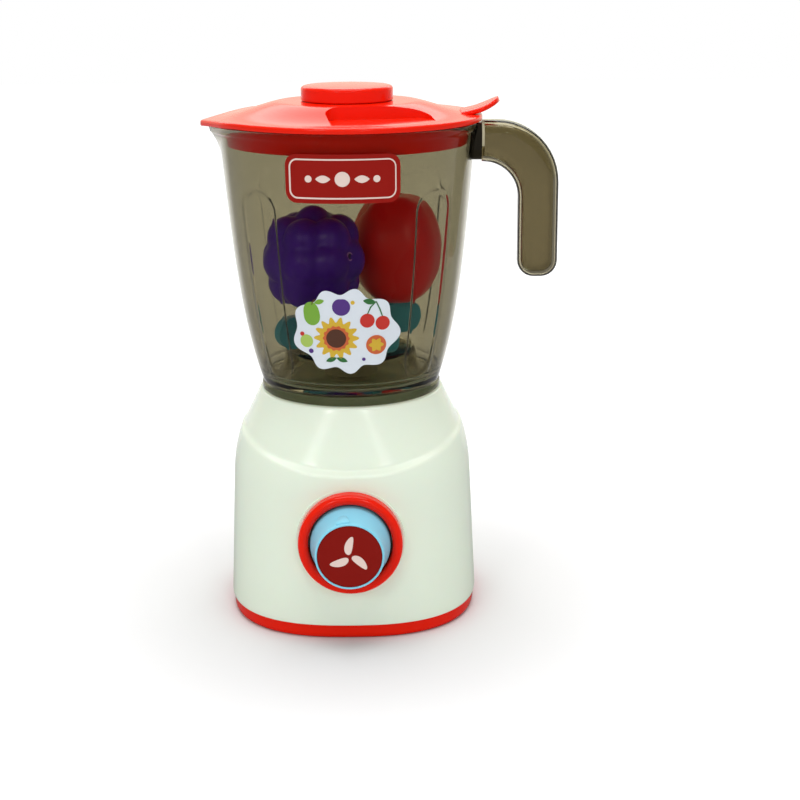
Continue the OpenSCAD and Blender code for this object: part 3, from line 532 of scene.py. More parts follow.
# ---------------- dial
KNOB_FACE_R = 15.2
KNOB_EDGE = 0.55
POINTER_HALF = 3.4
POINTER_TURN = math.radians(-10)
BLADES = 3
BLADE_TURN = math.degrees(0.3)
BLADE_MIDDLE = 4.9
BLADE_HALF = (3.9, 1.9)
BLADE_BEND = 0.0495


def make_knob(mats):
    seat_y, back_y = KNOB_Y + 1.0, WELL_Y - 1
    profile = [(1, seat_y), (DISC_R + 0.1, seat_y), (DISC_R + 0.1, KNOB_Y + 0.15)]
    profile += arc(KNOB_FACE_R - KNOB_EDGE, KNOB_Y + KNOB_EDGE, KNOB_EDGE, 250, 350, 6)
    profile += [(KNOB_FACE_R + 0.3, KNOB_Y + 4), (KNOB_FACE_R + 1.2, KNOB_Y + 8.5),
                (KNOB_R - 0.5, BEZEL_Y - 0.6), (KNOB_R - 0.05, BEZEL_Y + 1.4), (KNOB_R, BEZEL_Y + 3),
                (KNOB_R, back_y), (1, back_y)]
    add("dial_knob_cap", spun(profile, 160, on_dial), mats["blue"], "dial", ["dial_knob"])
    make_pointer(mats)


def make_pointer(mats):
    """Raised wedge along the top of the knob's side, widest at the face."""
    y0, y1 = KNOB_Y + 1.0, KNOB_Y + 9.0
    c, s = math.cos(POINTER_TURN), math.sin(POINTER_TURN)
    rows = []
    for y, r, lift, width in ((y0, 14.6, 0, 0.8), (y0, 15.3, 0.5, 1), (y0 + 0.6, 15.5, 0.9, 1),
                              (y1 - 3, 16.0, 1.1, 0.6), (y1, 16.4, -0.2, 0.15)):
        w, root, side = POINTER_HALF * width, -r + 1.5, -(r + lift) + 0.25
        ring = ((-w, root), (-w * 0.85, side), (0, -(r + lift)), (w * 0.85, side), (w, root))
        rows.append([on_dial((x * c - z * s, x * s + z * c, y)) for x, z in ring])
    bevel(add("dial_pointer", capped(rows), mats["blue"], "dial"), 0.3)


def drawn_in(outline, rings):
    """The outline in even steps of size about its middle, smallest first."""
    cx, cy = (sum(p[c] for p in outline) / len(outline) for c in range(2))
    return [[(mix(cx, x, k / rings), mix(cy, y, k / rings)) for x, y in outline] for k in range(1, rings + 1)]


def make_disc(mats):
    rim = 0.25
    top, bottom = KNOB_Y + 0.2, KNOB_Y + 0.95
    profile = [(1, top), (DISC_R - rim, top), (DISC_R, top + rim), (DISC_R, bottom), (1, bottom)]
    add("knob_disc", spun(profile, 128, on_dial), mats["disc"], "dial", ["dial_disc"])
    blades = []
    for k in range(BLADES):
        outline = []
        for a in angles(40):
            x = BLADE_MIDDLE + BLADE_HALF[0] * math.cos(a)
            outline.append((x, BLADE_HALF[1] * math.sin(a) + BLADE_BEND * (x - 1) ** 2))
        outline = moved(outline, 0, 0, turn=BLADE_TURN + 360 / BLADES * k)
        rows = [[on_dial((x, z, top - 0.12)) for x, z in ring] for ring in drawn_in(outline, 5)]
        blades.append(capped(rows + [[on_dial((x, z, top + 0.08)) for x, z in outline]]))
    add("knob_mark", joined(*blades), mats["print_cream"], "dial", smooth_angle=30)


# ---------------- jug
JUG_WALL = 1.9
JUG_LOW_Z = JUG_FOOT_Z + 3.4
JUG_TOP_Z = JUG_RIM_Z - 4
JUG_TAPER = 9.8
JUG_BELL = 7
JUG_LOW_R = JUG_RIM_R - JUG_TAPER - JUG_BELL - 1
JUG_FOOT_R = JUG_LOW_R + 0.7
JUG_FLOOR_Z = JUG_FOOT_Z + 6.9
FOOT_BORE_R = JUG_FOOT_R - 2.5
PEDESTAL_R = 30
PEDESTAL_Z = high("spindle_bush", 2) - 1.4
BUSH_R = 4.6
SPOUT_REACH = -low("jug_body", 0) - 2.4
BEAK_DROOP = 2.3
DROOP_X = 46
SPOUT_R = 5
SPOUT_LOW_Z = JUG_RIM_Z - 19
FLUTE_ANGLE = 45
FLUTE_AT = (-90 - FLUTE_ANGLE, -90 + FLUTE_ANGLE, 90 - FLUTE_ANGLE, 90 + FLUTE_ANGLE)
FLUTE_R = 52
FLUTE_W = 18.8
FLUTE_Z = (JUG_FOOT_Z + 6, JUG_RIM_Z - 25.5)
# Each skin of the wall is pushed in by (depth, half the width of the flute's edge).
FLUTE_OUTER = (0.25, 1.3)
FLUTE_INNER = (0.75, 0.6)
FLUTE_INNER_Z = JUG_FLOOR_Z + 4
FOOT_BAND_Z = JUG_FOOT_Z + 5.5


def jug_outer(z):
    t = (z - JUG_LOW_Z) / (JUG_TOP_Z - JUG_LOW_Z)
    return JUG_LOW_R + JUG_TAPER * t + JUG_BELL * (1 - (1 - t) ** 4)


def drop_radius(t, big, tip_x, tip_r):
    """Radius at the angle t of a disc drawn out to a rounded tip on -X."""
    phi = abs(math.atan2(math.sin(t), -math.cos(t)))
    if tip_x + tip_r <= big:
        return big
    lean = math.acos((big - tip_r) / tip_x)
    if phi >= lean:
        return big
    if phi > math.atan2(tip_r * math.sin(lean), tip_x + tip_r * math.cos(lean)):
        return big / math.cos(lean - phi)
    return tip_x * math.cos(phi) + math.sqrt(tip_r ** 2 - (tip_x * math.sin(phi)) ** 2)


def spout_radius(t, r, z, inset):
    """Jug radius with the spout, whose flare quickens towards the rim."""
    f = climb(SPOUT_LOW_Z, JUG_RIM_Z - 1.5, z)
    tip_r = mix(r, SPOUT_R - inset, min(f * 1.6, 1.0))
    reach = mix(r, SPOUT_REACH - inset, f ** 2.4)
    return drop_radius(t, r, reach - tip_r, tip_r)


def drooped(x, y, z, share=1.0):
    """A point of the rim or lid, lower towards the tip of the spout."""
    return (x, y, z - BEAK_DROOP * share * climb(DROOP_X, -LID_TIP_X, -x) ** 1.4)


def flute_depth(t, z, skin):
    """How far the flutes push a skin of the wall in at this place."""
    depth, edge = skin
    low_z, high_z = FLUTE_INNER_Z if skin is FLUTE_INNER else FLUTE_Z[0], FLUTE_Z[1]
    for centre in FLUTE_AT:
        turn = t - math.radians(centre)
        if math.cos(turn) > 0.8:
            d = round_box_distance(FLUTE_R * math.sin(turn), z - (low_z + high_z) / 2,
                                   FLUTE_W / 2, (high_z - low_z) / 2, FLUTE_W / 2 - 0.2)
            return depth * smooth(edge, -edge, d)
    return 0.0


def jug_turns():
    """Angles round the jug, close together where a flute's edge runs and round the spout's tip."""
    turns = {2.5 * i - 180 for i in range(144)}
    turns |= {centre + side * (8.6 + 0.3 * k) for centre in FLUTE_AT for side in (-1, 1) for k in range(24)}
    turns |= {side * (0.9 * k - 180) for side in (-1, 1) for k in range(20)}
    return [math.radians(a) for a in sorted({round(a, 3) for a in turns}) if -180 <= a < 180]


def jug_rows():
    turns = jug_turns()

    def plain(r, z):
        return [on_ring(r, t, z) for t in turns]

    def spouted(r, z, inset=0.0, skin=None):
        share = climb(SPOUT_LOW_Z, JUG_RIM_Z - 2, z)
        points = []
        for t in turns:
            rr = spout_radius(t, r, z, inset) - (flute_depth(t, z, skin) if skin else 0)
            points.append(drooped(*on_ring(rr, t, z), share))
        return points

    z0, z1 = FLUTE_Z
    heights = steps(14, JUG_LOW_Z, z0 + 10) + steps(30, z0 + 10, z1 - 10)[1:]
    heights += steps(12, z1 - 10, z1 + 1)[1:] + steps(24, z1 + 1, JUG_TOP_Z)[1:]
    rows = [plain(JUG_FOOT_R - d, z) for d, z in (
        (0.6, JUG_FOOT_Z), (0.2, JUG_FOOT_Z + 0.15), (0, JUG_FOOT_Z + 0.6), (0, JUG_LOW_Z - 0.9),
        (0.25, JUG_LOW_Z - 0.35))]
    rows += [spouted(jug_outer(z), z, 0, FLUTE_OUTER) for z in heights]
    rows.append(spouted(jug_outer(JUG_TOP_Z) + 0.5, JUG_TOP_Z + 0.6))
    rows += [spouted(JUG_RIM_R - d, z, d) for d, z in (
        (0, JUG_TOP_Z + 1.4), (0, JUG_RIM_Z - 0.5), (0.15, JUG_RIM_Z - 0.12), (0.5, JUG_RIM_Z))]
    top_in = jug_outer(JUG_TOP_Z) - JUG_WALL
    rows += [spouted(top_in + 0.4, JUG_RIM_Z, JUG_WALL - 0.4), spouted(top_in, JUG_RIM_Z - 0.4, JUG_WALL)]
    rows += [spouted(jug_outer(z) - JUG_WALL, z, JUG_WALL, FLUTE_INNER)
             for z in reversed(heights) if z > JUG_FLOOR_Z + 3.5]
    under, roof = JUG_FLOOR_Z - JUG_WALL, PEDESTAL_Z - JUG_WALL
    rows += [plain(r, z) for r, z in arc(
        jug_outer(JUG_FLOOR_Z) - JUG_WALL - 3, JUG_FLOOR_Z + 3, 3, 0, -90, 6) + [
        (PEDESTAL_R + 5.5, JUG_FLOOR_Z), (PEDESTAL_R + 3.9, JUG_FLOOR_Z + 0.3),
        (PEDESTAL_R + 2.8, JUG_FLOOR_Z + 1.1), (PEDESTAL_R + 2, JUG_FLOOR_Z + 2.6),
        (PEDESTAL_R + 0.3, PEDESTAL_Z - 2.4), (PEDESTAL_R - 0.2, PEDESTAL_Z - 1.0),
        (PEDESTAL_R - 1.0, PEDESTAL_Z - 0.25), (PEDESTAL_R - 2.0, PEDESTAL_Z), (BUSH_R, PEDESTAL_Z),
        (BUSH_R, roof), (PEDESTAL_R - 2.4, roof), (PEDESTAL_R + 0.2, JUG_FLOOR_Z + 1.2),
        (PEDESTAL_R + 3.0, under), (FOOT_BORE_R - 0.6, under), (FOOT_BORE_R, under - 0.6),
        (FOOT_BORE_R, JUG_FOOT_Z + 0.5), (FOOT_BORE_R + 0.5, JUG_FOOT_Z)]]
    return rows


def make_jug(mats):
    jug = add("jug_shell", grid(jug_rows(), close_rows=True), mats["smoke"], "jug",
              ["jug_body"], smooth_angle=50)
    # The foot band below FOOT_BAND_Z takes the darker smoke: painted shade where the jug sits down in the
    # base's seat.
    jug.data.materials.append(mats["deep_smoke"])
    for face in jug.data.polygons:
        middle = face.center / MM
        if middle.z < FOOT_BAND_Z and math.hypot(middle.x, middle.y) > PEDESTAL_R:
            face.material_index = 1


# ---------------- handle
HANDLE_T = 18.4
HANDLE_BEND = 28
HANDLE_INNER_BEND = 16
HANDLE_END_R = 7.5
HANDLE_WALL = 2.2
HANDLE_SOFT = 6.0
ROOT_X = low("jug_handle", 0)
ROOT_SOFT = 3.5


def handle_outline(d, x0):
    """Outline of the handle in its own plane, standing in by d, counter-clockwise."""
    bend_in, end_r, end_z = HANDLE_INNER_BEND, HANDLE_END_R, HANDLE_Z0 + HANDLE_END_R
    grip_x, leg_z = HANDLE_X1 - HANDLE_T, HANDLE_Z1 - HANDLE_T
    bend_x, bend_z = HANDLE_X1 - HANDLE_BEND, HANDLE_Z1 - HANDLE_BEND
    points = [(mix(x0, grip_x - bend_in, f), leg_z + d) for f in steps(2)[:2]]
    points += arc(grip_x - bend_in, leg_z - bend_in, bend_in + d, 90, 0, 12)
    points += [(grip_x + d, z) for z in steps(4, leg_z - bend_in, end_z)[1:4]]
    points += arc(grip_x + end_r, end_z, end_r - d, 180, 270, 6)
    points += arc(HANDLE_X1 - end_r, end_z, end_r - d, 270, 360, 6)
    points += [(HANDLE_X1 - d, z) for z in steps(4, end_z, bend_z)[1:4]]
    points += arc(bend_x, bend_z, HANDLE_BEND - d, 0, 90, 12)
    points += [(x, HANDLE_Z1 - d) for x in steps(2, bend_x, x0)[1:]]
    return points


def handle_form(inset, x0, inward=False):
    soft, half = HANDLE_SOFT - inset * 0.8, HANDLE_DEPTH / 2 - inset
    turns = steps(8, 0, math.pi / 2)
    levels = [(soft * (1 - math.sin(a)), -half + soft * (1 - math.cos(a))) for a in turns]
    levels += [(soft * (1 - math.sin(a)), half - soft * (1 - math.cos(a))) for a in reversed(turns)]
    verts, faces = ended([[(x, -y, z) for x, z in handle_outline(inset + s, x0)] for s, y in levels])
    return verts, [tuple(reversed(f)) for f in faces] if inward else faces


def make_handle(mats):
    """A hollow moulding: an outer skin and a closed hollow that follows it."""
    part = joined(handle_form(0, ROOT_X), handle_form(HANDLE_WALL, ROOT_X + 1.2, inward=True))
    add("jug_grip", part, mats["grip_smoke"], "jug", ["jug_handle"], 45, turn_out=False)


def corners(x0, x1, z0, z1, r, n):
    """The rounded corners of a rectangle, counter-clockwise."""
    points = []
    for k, (cx, cz) in enumerate(((x1 - r, z1 - r), (x0 + r, z1 - r), (x0 + r, z0 + r), (x1 - r, z0 + r))):
        points += arc(cx, cz, r, 90 * k, 90 * k + 90, n)
    return points


def make_handle_root(mats):
    """The solid block between the jug's wall and the handle, hollowed to fit the wall."""
    half = HANDLE_DEPTH / 2 - 1
    near, far = [], []
    for y, z in corners(-half, half, HANDLE_Z1 - HANDLE_T + 1, HANDLE_Z1 - 1, ROOT_SOFT, 6):
        r = (jug_outer(min(z, JUG_TOP_Z)) if z < JUG_TOP_Z + 1 else JUG_RIM_R) + 0.05
        near.append((math.sqrt(r * r - y * y), y, z))
        far.append((ROOT_X - 0.03, y, z))
    middle = [mix3(a, b, 0.5) for a, b in zip(near, far)]
    add("handle_root", capped([near, middle, far]), mats["thick_smoke"], "jug")


# ---------------- label and sticker
WALL_SHIFT = 1.0
LABEL_W, LABEL_Z0, LABEL_Z1 = 50, low("jug_label", 2), high("jug_label", 2)
BORDER_IN = 2.2
STICKER_Z = (low("jug_sticker", 2) + high("jug_sticker", 2)) / 2
FILM = 0.14
FILM_LIFT = 0.04
PRINT_LIFT = FILM_LIFT + FILM


def on_wall(x, z, lift):
    """A place on the jug's front wall: x along the wall from the middle, z up, lift off the wall."""
    r = jug_outer(z)
    a = (x - WALL_SHIFT) / r
    return ((r + lift) * math.sin(a), -(r + lift) * math.cos(a), z)


def film(outline, lift, rings=10):
    """A thin film on the wall inside an outline that is star-shaped about its middle."""
    scaled = drawn_in(outline, rings)
    rows = [[on_wall(x, z, lift) for x, z in ring] for ring in scaled]
    rows += [[on_wall(x, z, lift + FILM) for x, z in ring] for ring in reversed(scaled)]
    return capped(rows)


def stripe(points, width, lift):
    """A thin line of film along points, tapering a little to both ends."""
    rows = []
    for i, (x, z) in enumerate(points):
        x0, z0 = points[max(i - 1, 0)]
        x1, z1 = points[min(i + 1, len(points) - 1)]
        length = math.hypot(x1 - x0, z1 - z0)
        half = width / 2 * (0.75 + 0.25 * math.sin(math.pi * i / (len(points) - 1)))
        nx, nz = -(z1 - z0) / length * half, (x1 - x0) / length * half
        rows.append([on_wall(x + nx, z + nz, lift), on_wall(x - nx, z - nz, lift),
                     on_wall(x - nx, z - nz, lift + FILM), on_wall(x + nx, z + nz, lift + FILM)])
    return capped(rows)


def round_rect(half_x, half_z, r):
    """Outline of a round-cornered rectangle, with points along its straight sides too."""
    points = corners(-half_x, half_x, -half_z, half_z, r, 8)
    filled = []
    for i, p in enumerate(points):
        q = points[(i + 1) % len(points)]
        cuts = max(1, round(math.dist(p, q) / 2.5))
        filled += [(mix(p[0], q[0], k / cuts), mix(p[1], q[1], k / cuts)) for k in range(cuts)]
    return filled


def polar(radius, n):
    """Outline with that radius at each angle from its middle."""
    return [(radius(a) * math.cos(a), radius(a) * math.sin(a)) for a in angles(n)]


def moved(outline, x, z, size=1.0, turn=0.0):
    """The outline scaled, turned by degrees and moved."""
    c, s = math.cos(math.radians(turn)) * size, math.sin(math.radians(turn)) * size
    return [(x + p * c - q * s, z + p * s + q * c) for p, q in outline]


def dot(x, z, r, lift, n=20, rings=2):
    return film(moved(polar(lambda a: r, n), x, z), lift, rings)


def leaf(x, z, length, width, turn, lift, rings=2):
    side = [(length * f, width / 2 * math.sin(math.pi * f) ** 0.8) for f in steps(16)]
    return film(moved(side + [(p, -q) for p, q in reversed(side[1:-1])], x, z, 1, turn), lift, rings)


def pear():
    return polar(lambda a: 1 + 0.42 * max(math.cos(a - math.pi / 2), 0) ** 3 - 0.1 * math.cos(2 * a), 48)


def paint(name, mats, colour, *shapes):
    add(name, joined(*shapes), mats[colour], "jug", smooth_angle=30)


def make_label(mats):
    mid, half_z = (LABEL_Z0 + LABEL_Z1) / 2, (LABEL_Z1 - LABEL_Z0) / 2
    plate = moved(round_rect(LABEL_W / 2, half_z, 5), 0, mid)
    add("label_plate", film(plate, FILM_LIFT), mats["label"], "jug", ["jug_label"], 30)
    line = moved(round_rect(LABEL_W / 2 - BORDER_IN, half_z - BORDER_IN, 3.4), 0, mid)
    border = stripe(line + line[:1], 0.7, PRINT_LIFT)
    dots = [dot(x, mid, r, PRINT_LIFT, 24) for x, r in ((0, 3.2), (-14.5, 1.5), (14.5, 1.5))]
    leaves = [leaf(x, mid, 6.4, 3.2, turn, PRINT_LIFT, 3) for x, turn in ((-5, 180), (5, 0))]
    add("label_print", joined(border, *dots, *leaves), mats["print_cream"], "jug", (), 30)


def make_sticker(mats):
    """Generic fruit and flower stickers on one white cloud-shaped film."""
    z = STICKER_Z
    cloud = moved(polar(lambda a: 1 / math.hypot(math.cos(a) / 23.4, math.sin(a) / 18.4)
                        + 1.5 * math.cos(9 * a + 0.6), 144), 0, z)
    add("sticker_film", film(cloud, FILM_LIFT, 14), mats["film"], "jug", ["jug_sticker"], 30)
    top, over = PRINT_LIFT, PRINT_LIFT + FILM
    flower, fruit_slice, stem_top = (-4, z - 3), (13.4, z - 6.4), (13.6, z + 13.6)
    cherries = ((9.6, z + 5.0), (16.4, z + 3.6))
    paint("sticker_petals", mats, "print_yellow",
          film(moved(polar(lambda a: 8.6 + 1.3 * math.cos(14 * a), 168), *flower), top, 6))
    paint("sticker_flower_rim", mats, "print_orange",
          film(moved(polar(lambda a: 5.6 + 0.3 * math.cos(14 * a), 112), *flower), over, 4),
          dot(*fruit_slice, 4.5, top, 40, 4))
    paint("sticker_flower_middle", mats, "print_brown", dot(*flower, 4.3, over + FILM, 40, 4),
          stripe([(-14.6, z + 12.2), (-14.0, z + 13.6), (-13.0, z + 14.6)], 0.8, top))
    paint("sticker_slice_wedges", mats, "print_yellow",
          *(leaf(*fruit_slice, 3.4, 2.1, 60 * k, over) for k in range(6)), dot(3.4, z + 13.4, 0.9, top))
    paint("sticker_pear", mats, "print_green", film(moved(pear(), -14.6, z + 7.2, 4.1, 8), top, 4),
          leaf(-13.4, z + 13.0, 4.6, 2.2, 15, top))
    paint("sticker_cherries", mats, "print_red", *(dot(x, y, 3.2, top, 40, 4) for x, y in cherries),
          dot(-19.4, z - 1.6, 1.0, top))
    stems = [stripe([(x, y + 2.8), (mix(x, stem_top[0], 0.4), y + 6.2), stem_top], 0.6, top)
             for x, y in cherries]
    paint("sticker_stems", mats, "print_leaf", *stems, leaf(13.4, z + 13.2, 5.6, 2.6, 170, top),
          *(leaf(-4.0, z - 12.2, 5.0, 2.2, turn, top) for turn in (200, -20)))
    plum = polar(lambda a: 3.9 - 0.35 * math.exp(-(3 * (a - math.pi / 2)) ** 2), 48)
    paint("sticker_plum", mats, "print_purple", film(moved(plum, -1.6, z + 11.4), top, 4),
          dot(-15.4, z - 9.4, 1.1, top), dot(7.8, z - 13.0, 0.8, top))
    paint("sticker_lime", mats, "print_lime", dot(-17.4, z - 4.8, 3.0, top, 40, 3))


# ---------------- lid
LID_TURNS = 288
LIP_TOP_Z = LID_LIP_Z + 2.6
LID_FLAT_Z = LIP_TOP_Z + 6.0
LID_FLAT_R = 31
LID_EDGE_IN = 1.1
LID_EDGE_R = LID_R - LID_EDGE_IN
LID_WALL = 1.9
SKIRT_R = 54
BEAK_R = 4
BEAK_X = -LID_TIP_X - BEAK_R
CAP_BORE_R = CAP_R - 3.4
CAP_EDGE = 1.6
CAP_DOME = 0.4
POCKET_Y = 30
POCKET_X0, POCKET_X1 = -16.2, 30.1
POCKET_TURN = math.radians(12)
POCKET_FLOOR_Z = LIP_TOP_Z + 0.4
POCKET_CORNER = 7
TAB_TILT = math.radians(20)
TAB_START_X = LID_R - 9
TAB_HALF = 10
TAB_THICK = 2.2
TAB_DISH = 1.0
TAB_EDGE = 0.9


def lid_top(r):
    """Height of the lid's top: flat in the middle and rounding down to the lip."""
    fall = math.sin(math.pi / 2 * climb(LID_FLAT_R, LID_EDGE_R, r)) ** 1.3
    return LID_FLAT_Z - (LID_FLAT_Z - LIP_TOP_Z) * fall


def lid_rows():
    def row(radius, height):
        """A ring. The radius may depend on the angle, and the height on the radius."""
        points = []
        for t in angles(LID_TURNS):
            r = radius(t) if callable(radius) else radius
            points.append(drooped(*on_ring(r, t, height(r) if callable(height) else height)))
        return points

    def edge(inset):
        return lambda t: drop_radius(t, LID_R - inset, BEAK_X, BEAK_R - inset * 0.8)

    rows = [row(CAP_BORE_R, LID_FLAT_Z - 0.4), row(CAP_BORE_R + 0.4, LID_FLAT_Z)]
    rows += [row(lambda t: mix(LID_FLAT_R - 6, edge(LID_EDGE_IN)(t), f), lid_top) for f in steps(20)]
    rows += [row(edge(inset), z) for inset, z in (
        (0.5, LIP_TOP_Z - 0.12), (0.12, LIP_TOP_Z - 0.5), (0, LIP_TOP_Z - 1.1), (0, LID_LIP_Z + 0.6),
        (0.2, LID_LIP_Z + 0.15), (0.7, LID_LIP_Z))]
    skirt_in, bore_out = SKIRT_R - LID_WALL, CAP_BORE_R + LID_WALL
    rows += [row(r, z) for r, z in (
        (SKIRT_R + 0.5, LID_LIP_Z), (SKIRT_R, LID_LIP_Z - 0.5), (SKIRT_R, LID_SKIRT_Z + 0.5),
        (SKIRT_R - 0.5, LID_SKIRT_Z), (skirt_in + 0.4, LID_SKIRT_Z), (skirt_in, LID_SKIRT_Z + 0.4),
        (skirt_in, LIP_TOP_Z - 0.4))]
    rows += [row(r, lambda r: lid_top(r) - LID_WALL) for r in steps(8, skirt_in, bore_out + 1)[1:]]
    return rows + [row(r, LID_FLAT_Z - 6) for r in (bore_out, CAP_BORE_R)]


def pocket_block(side, grow, z0, z1):
    """Block over a fingertip pocket's plan, open towards the lip."""
    x0, x1, r = POCKET_X0 - grow, POCKET_X1 + grow, POCKET_CORNER + grow
    near_y, far_y = POCKET_Y - grow, LID_R + 9
    outline = arc(x1 - r, near_y + r, r, 0, -90, 10) + arc(x0 + r, near_y + r, r, -90, -180, 10)
    outline += [(x0, far_y), (x1, far_y)]
    c, s = math.cos(POCKET_TURN), math.sin(POCKET_TURN)
    return ended([[(x * c + y * s, side * (y * c - x * s), z) for x, y in outline] for z in (z0, z1)])


def crown_solid():
    """The space under the lid's top, which a pocket's walls stay inside."""
    edge_r, low_z = LID_R - 1.4, LID_LIP_Z + 0.3
    profile = [(1, low_z), (edge_r, low_z)]
    profile += [(r, lid_top(r) - 0.01) for r in steps(16, edge_r, LID_FLAT_R)]
    return spun(profile + [(1, LID_FLAT_Z - 0.01)], 144)


def make_lid(mats):
    lid = add("lid_shell", grid(lid_rows(), close_rows=True), mats["red"], "lid", ["lid"])
    above = LID_FLAT_Z + 3
    for side in (-1, 1):
        tub = new_object("tub", *pocket_block(side, LID_WALL, POCKET_FLOOR_Z - LID_WALL, above))
        boolean(tub, new_object("crown", *crown_solid()), "INTERSECT")
        boolean(lid, tub, "UNION")
    for side in (-1, 1):
        boolean(lid, new_object("pocket", *pocket_block(side, 0, POCKET_FLOOR_Z, above)), "DIFFERENCE")
    shade(lid.data, 35)
    make_tab(mats)


def make_tab(mats):
    """The lift tab over the handle, rising and a little dished, with soft edges."""
    c, s = math.cos(TAB_TILT), math.sin(TAB_TILT)
    length = (high("lid", 0) - TAB_START_X) / c - 0.35
    rows = []
    for f in steps(24):
        along, w = length * f, TAB_HALF - 0.1
        if along > length - TAB_HALF:
            w = math.sqrt(max(w ** 2 - (along - length + TAB_HALF) ** 2, 0.04))
        edge = min(TAB_EDGE, w * 0.6)
        sag = TAB_DISH * math.sin(math.pi * f)
        ring = []
        for y, z in arc(w - edge, 0, edge, -90, 90, 6) + arc(edge - w, 0, edge, 90, 270, 6):
            up = z * TAB_THICK / 2 / edge + TAB_THICK / 2 - sag
            ring.append((TAB_START_X + along * c - up * s, y, LIP_TOP_Z - 0.8 + along * s + up * c))
        rows.append(ring)
    add("lid_tab", capped(rows), mats["red"], "lid", (), 50)


def make_cap(mats):
    bottom, base, top = low("lid_cap", 2), LID_FLAT_Z + 0.2, CAP_TOP_Z - CAP_DOME
    stem, dome_r = CAP_BORE_R - 0.5, CAP_R - CAP_EDGE
    bore = stem - LID_WALL
    profile = [(1, top - LID_WALL), (bore, top - LID_WALL), (bore, bottom + 0.3), (bore + 0.3, bottom),
               (stem - 0.3, bottom), (stem, bottom + 0.3), (stem, base),
               (CAP_R - 0.4, base), (CAP_R, base + 0.4)]
    profile += arc(dome_r, top - CAP_EDGE, CAP_EDGE, 0, 78, 8)
    profile += [(r, top + CAP_DOME * (1 - (r / dome_r) ** 2)) for r in range(16, 0, -3)]
    add("lid_plug", spun(profile, 160), mats["red"], "cap", ["lid_cap"])


# ---------------- play foods
# Each ring of lobes is (how many, radius of the ring, height, radius of a lobe, turn).
BERRY_RINGS = ((1, 0, 13.5, 9.0, 0), (6, 11.5, 9.5, 9.0, 0.2), (8, 14.2, 0.5, 9.4, 0.5),
               (6, 10.8, -9, 9.6, 0.1), (1, 0, -14.5, 9.5, 0))
EYELET_AT = (0.86, 0.585)
EYELET_R = 1.7
TOMATO_LOBES = 5


def lobes_surface(lobes, sink, n=160, m=100):
    """Skin over soft-joined balls, seen from their middle. Lobes are (x, y, z, radius)."""
    rows = []
    for v in steps(m, -math.pi / 2 + 0.02, math.pi / 2 - 0.02):
        row = []
        for u in angles(n):
            d = (math.cos(v) * math.cos(u), math.cos(v) * math.sin(u), math.sin(v))
            total = 0.0
            for x, y, z, r in lobes:
                along = x * d[0] + y * d[1] + z * d[2]
                gap = r * r - (x * x + y * y + z * z - along * along)
                if gap > 0:
                    total += math.exp((along + math.sqrt(gap)) * sink)
            row.append(tuple(c * math.log(total) / sink for c in d))
        rows.append(row)
    return rows


def place_rows(rows, box):
    """Rows stretched to fill a box (lowest corner, highest corner) in millimetres."""
    points = [p for row in rows for p in row]
    lows = [min(p[c] for p in points) for c in range(3)]
    highs = [max(p[c] for p in points) for c in range(3)]
    return [[tuple(mix(box[0][c], box[1][c], (p[c] - lows[c]) / (highs[c] - lows[c])) for c in range(3))
             for p in row] for row in rows]


def box_mm(node_name):
    return [[c / MM for c in corner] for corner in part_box(node_name)]


def make_eyelet(rows, box, mats):
    """The small moulded ring round the berry's needle hole, square to its skin, and a dark disc in it:
    painted shade of the hole.
    """
    x, z = mix(box[0][0], box[1][0], EYELET_AT[0]), mix(box[0][2], box[1][2], EYELET_AT[1])
    points = [Vector(p) for row in rows for p in row]
    middle = sum(points, Vector()) / len(points)
    at = min((p for p in points if p.y < middle.y), key=lambda p: math.hypot(p.x - x, p.z - z))
    turn = (at - middle).to_track_quat("Z", "Y").to_matrix()

    def place(p):
        return tuple(at + turn @ Vector(p))

    ring = turned([(EYELET_R + 0.38 * math.cos(a), 0.36 * math.sin(a)) for a in angles(12)], 32, place)
    add("berry_eyelet", ring, mats["eyelet"], "berry")
    # A dark disc inside the ring: painted shade of the needle hole.
    plug_r = EYELET_R - 0.2
    plug = spun([(0.1, 0.12), (plug_r, 0.1), (plug_r, -0.3), (0.1, -0.3)], 24, place)
    add("berry_eyelet_hole_shade", plug, mats["dimple"], "berry")


def make_berry(mats):
    lobes = [(0, 0, 0, 16.5)]
    for count, ring, height, r, turn in BERRY_RINGS:
        lobes += [(*on_ring(ring, a + turn, height), r) for a in angles(count)]
    box = box_mm("berry_cluster")
    rows = place_rows(lobes_surface(lobes, 1.1), box)
    add("berry_skin", capped(rows), mats["berry"], "berry", ["berry_cluster"], 80)
    make_eyelet(rows, box, mats)


def make_tomato(mats):
    lobes = [(0, 0, 0, 14)] + [(*on_ring(7.6, a + 0.25, 0.8), 15.2) for a in angles(TOMATO_LOBES)]
    rows = place_rows(lobes_surface(lobes, 0.8, 144, 72), box_mm("tomato"))
    add("tomato_skin", capped(rows), mats["tomato"], "tomato_food", ["tomato"], 80)


# ---------------- the parts that keep their CAD shape
STEEL_NODES = ("plate_screws", "bracket_screws", "click_spring", "click_screw", "crown_washer", "crown_screw",
               "drive_shaft", "shaft_clip", "wheel_spindle")
TEAL_NODES = ("mixing_wheel", "wheel_nut")


def finish_cad_nodes(mats):
    """Steel for the metal pieces, teal for the mixing wheel and its nut, cream for the rest."""
    for name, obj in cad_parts.items():
        mat = mats["steel" if name in STEEL_NODES else "teal" if name in TEAL_NODES else "cream"]
        if not obj.material_slots:
            obj.data.materials.append(mat)
        for place in obj.material_slots:
            place.material = mat


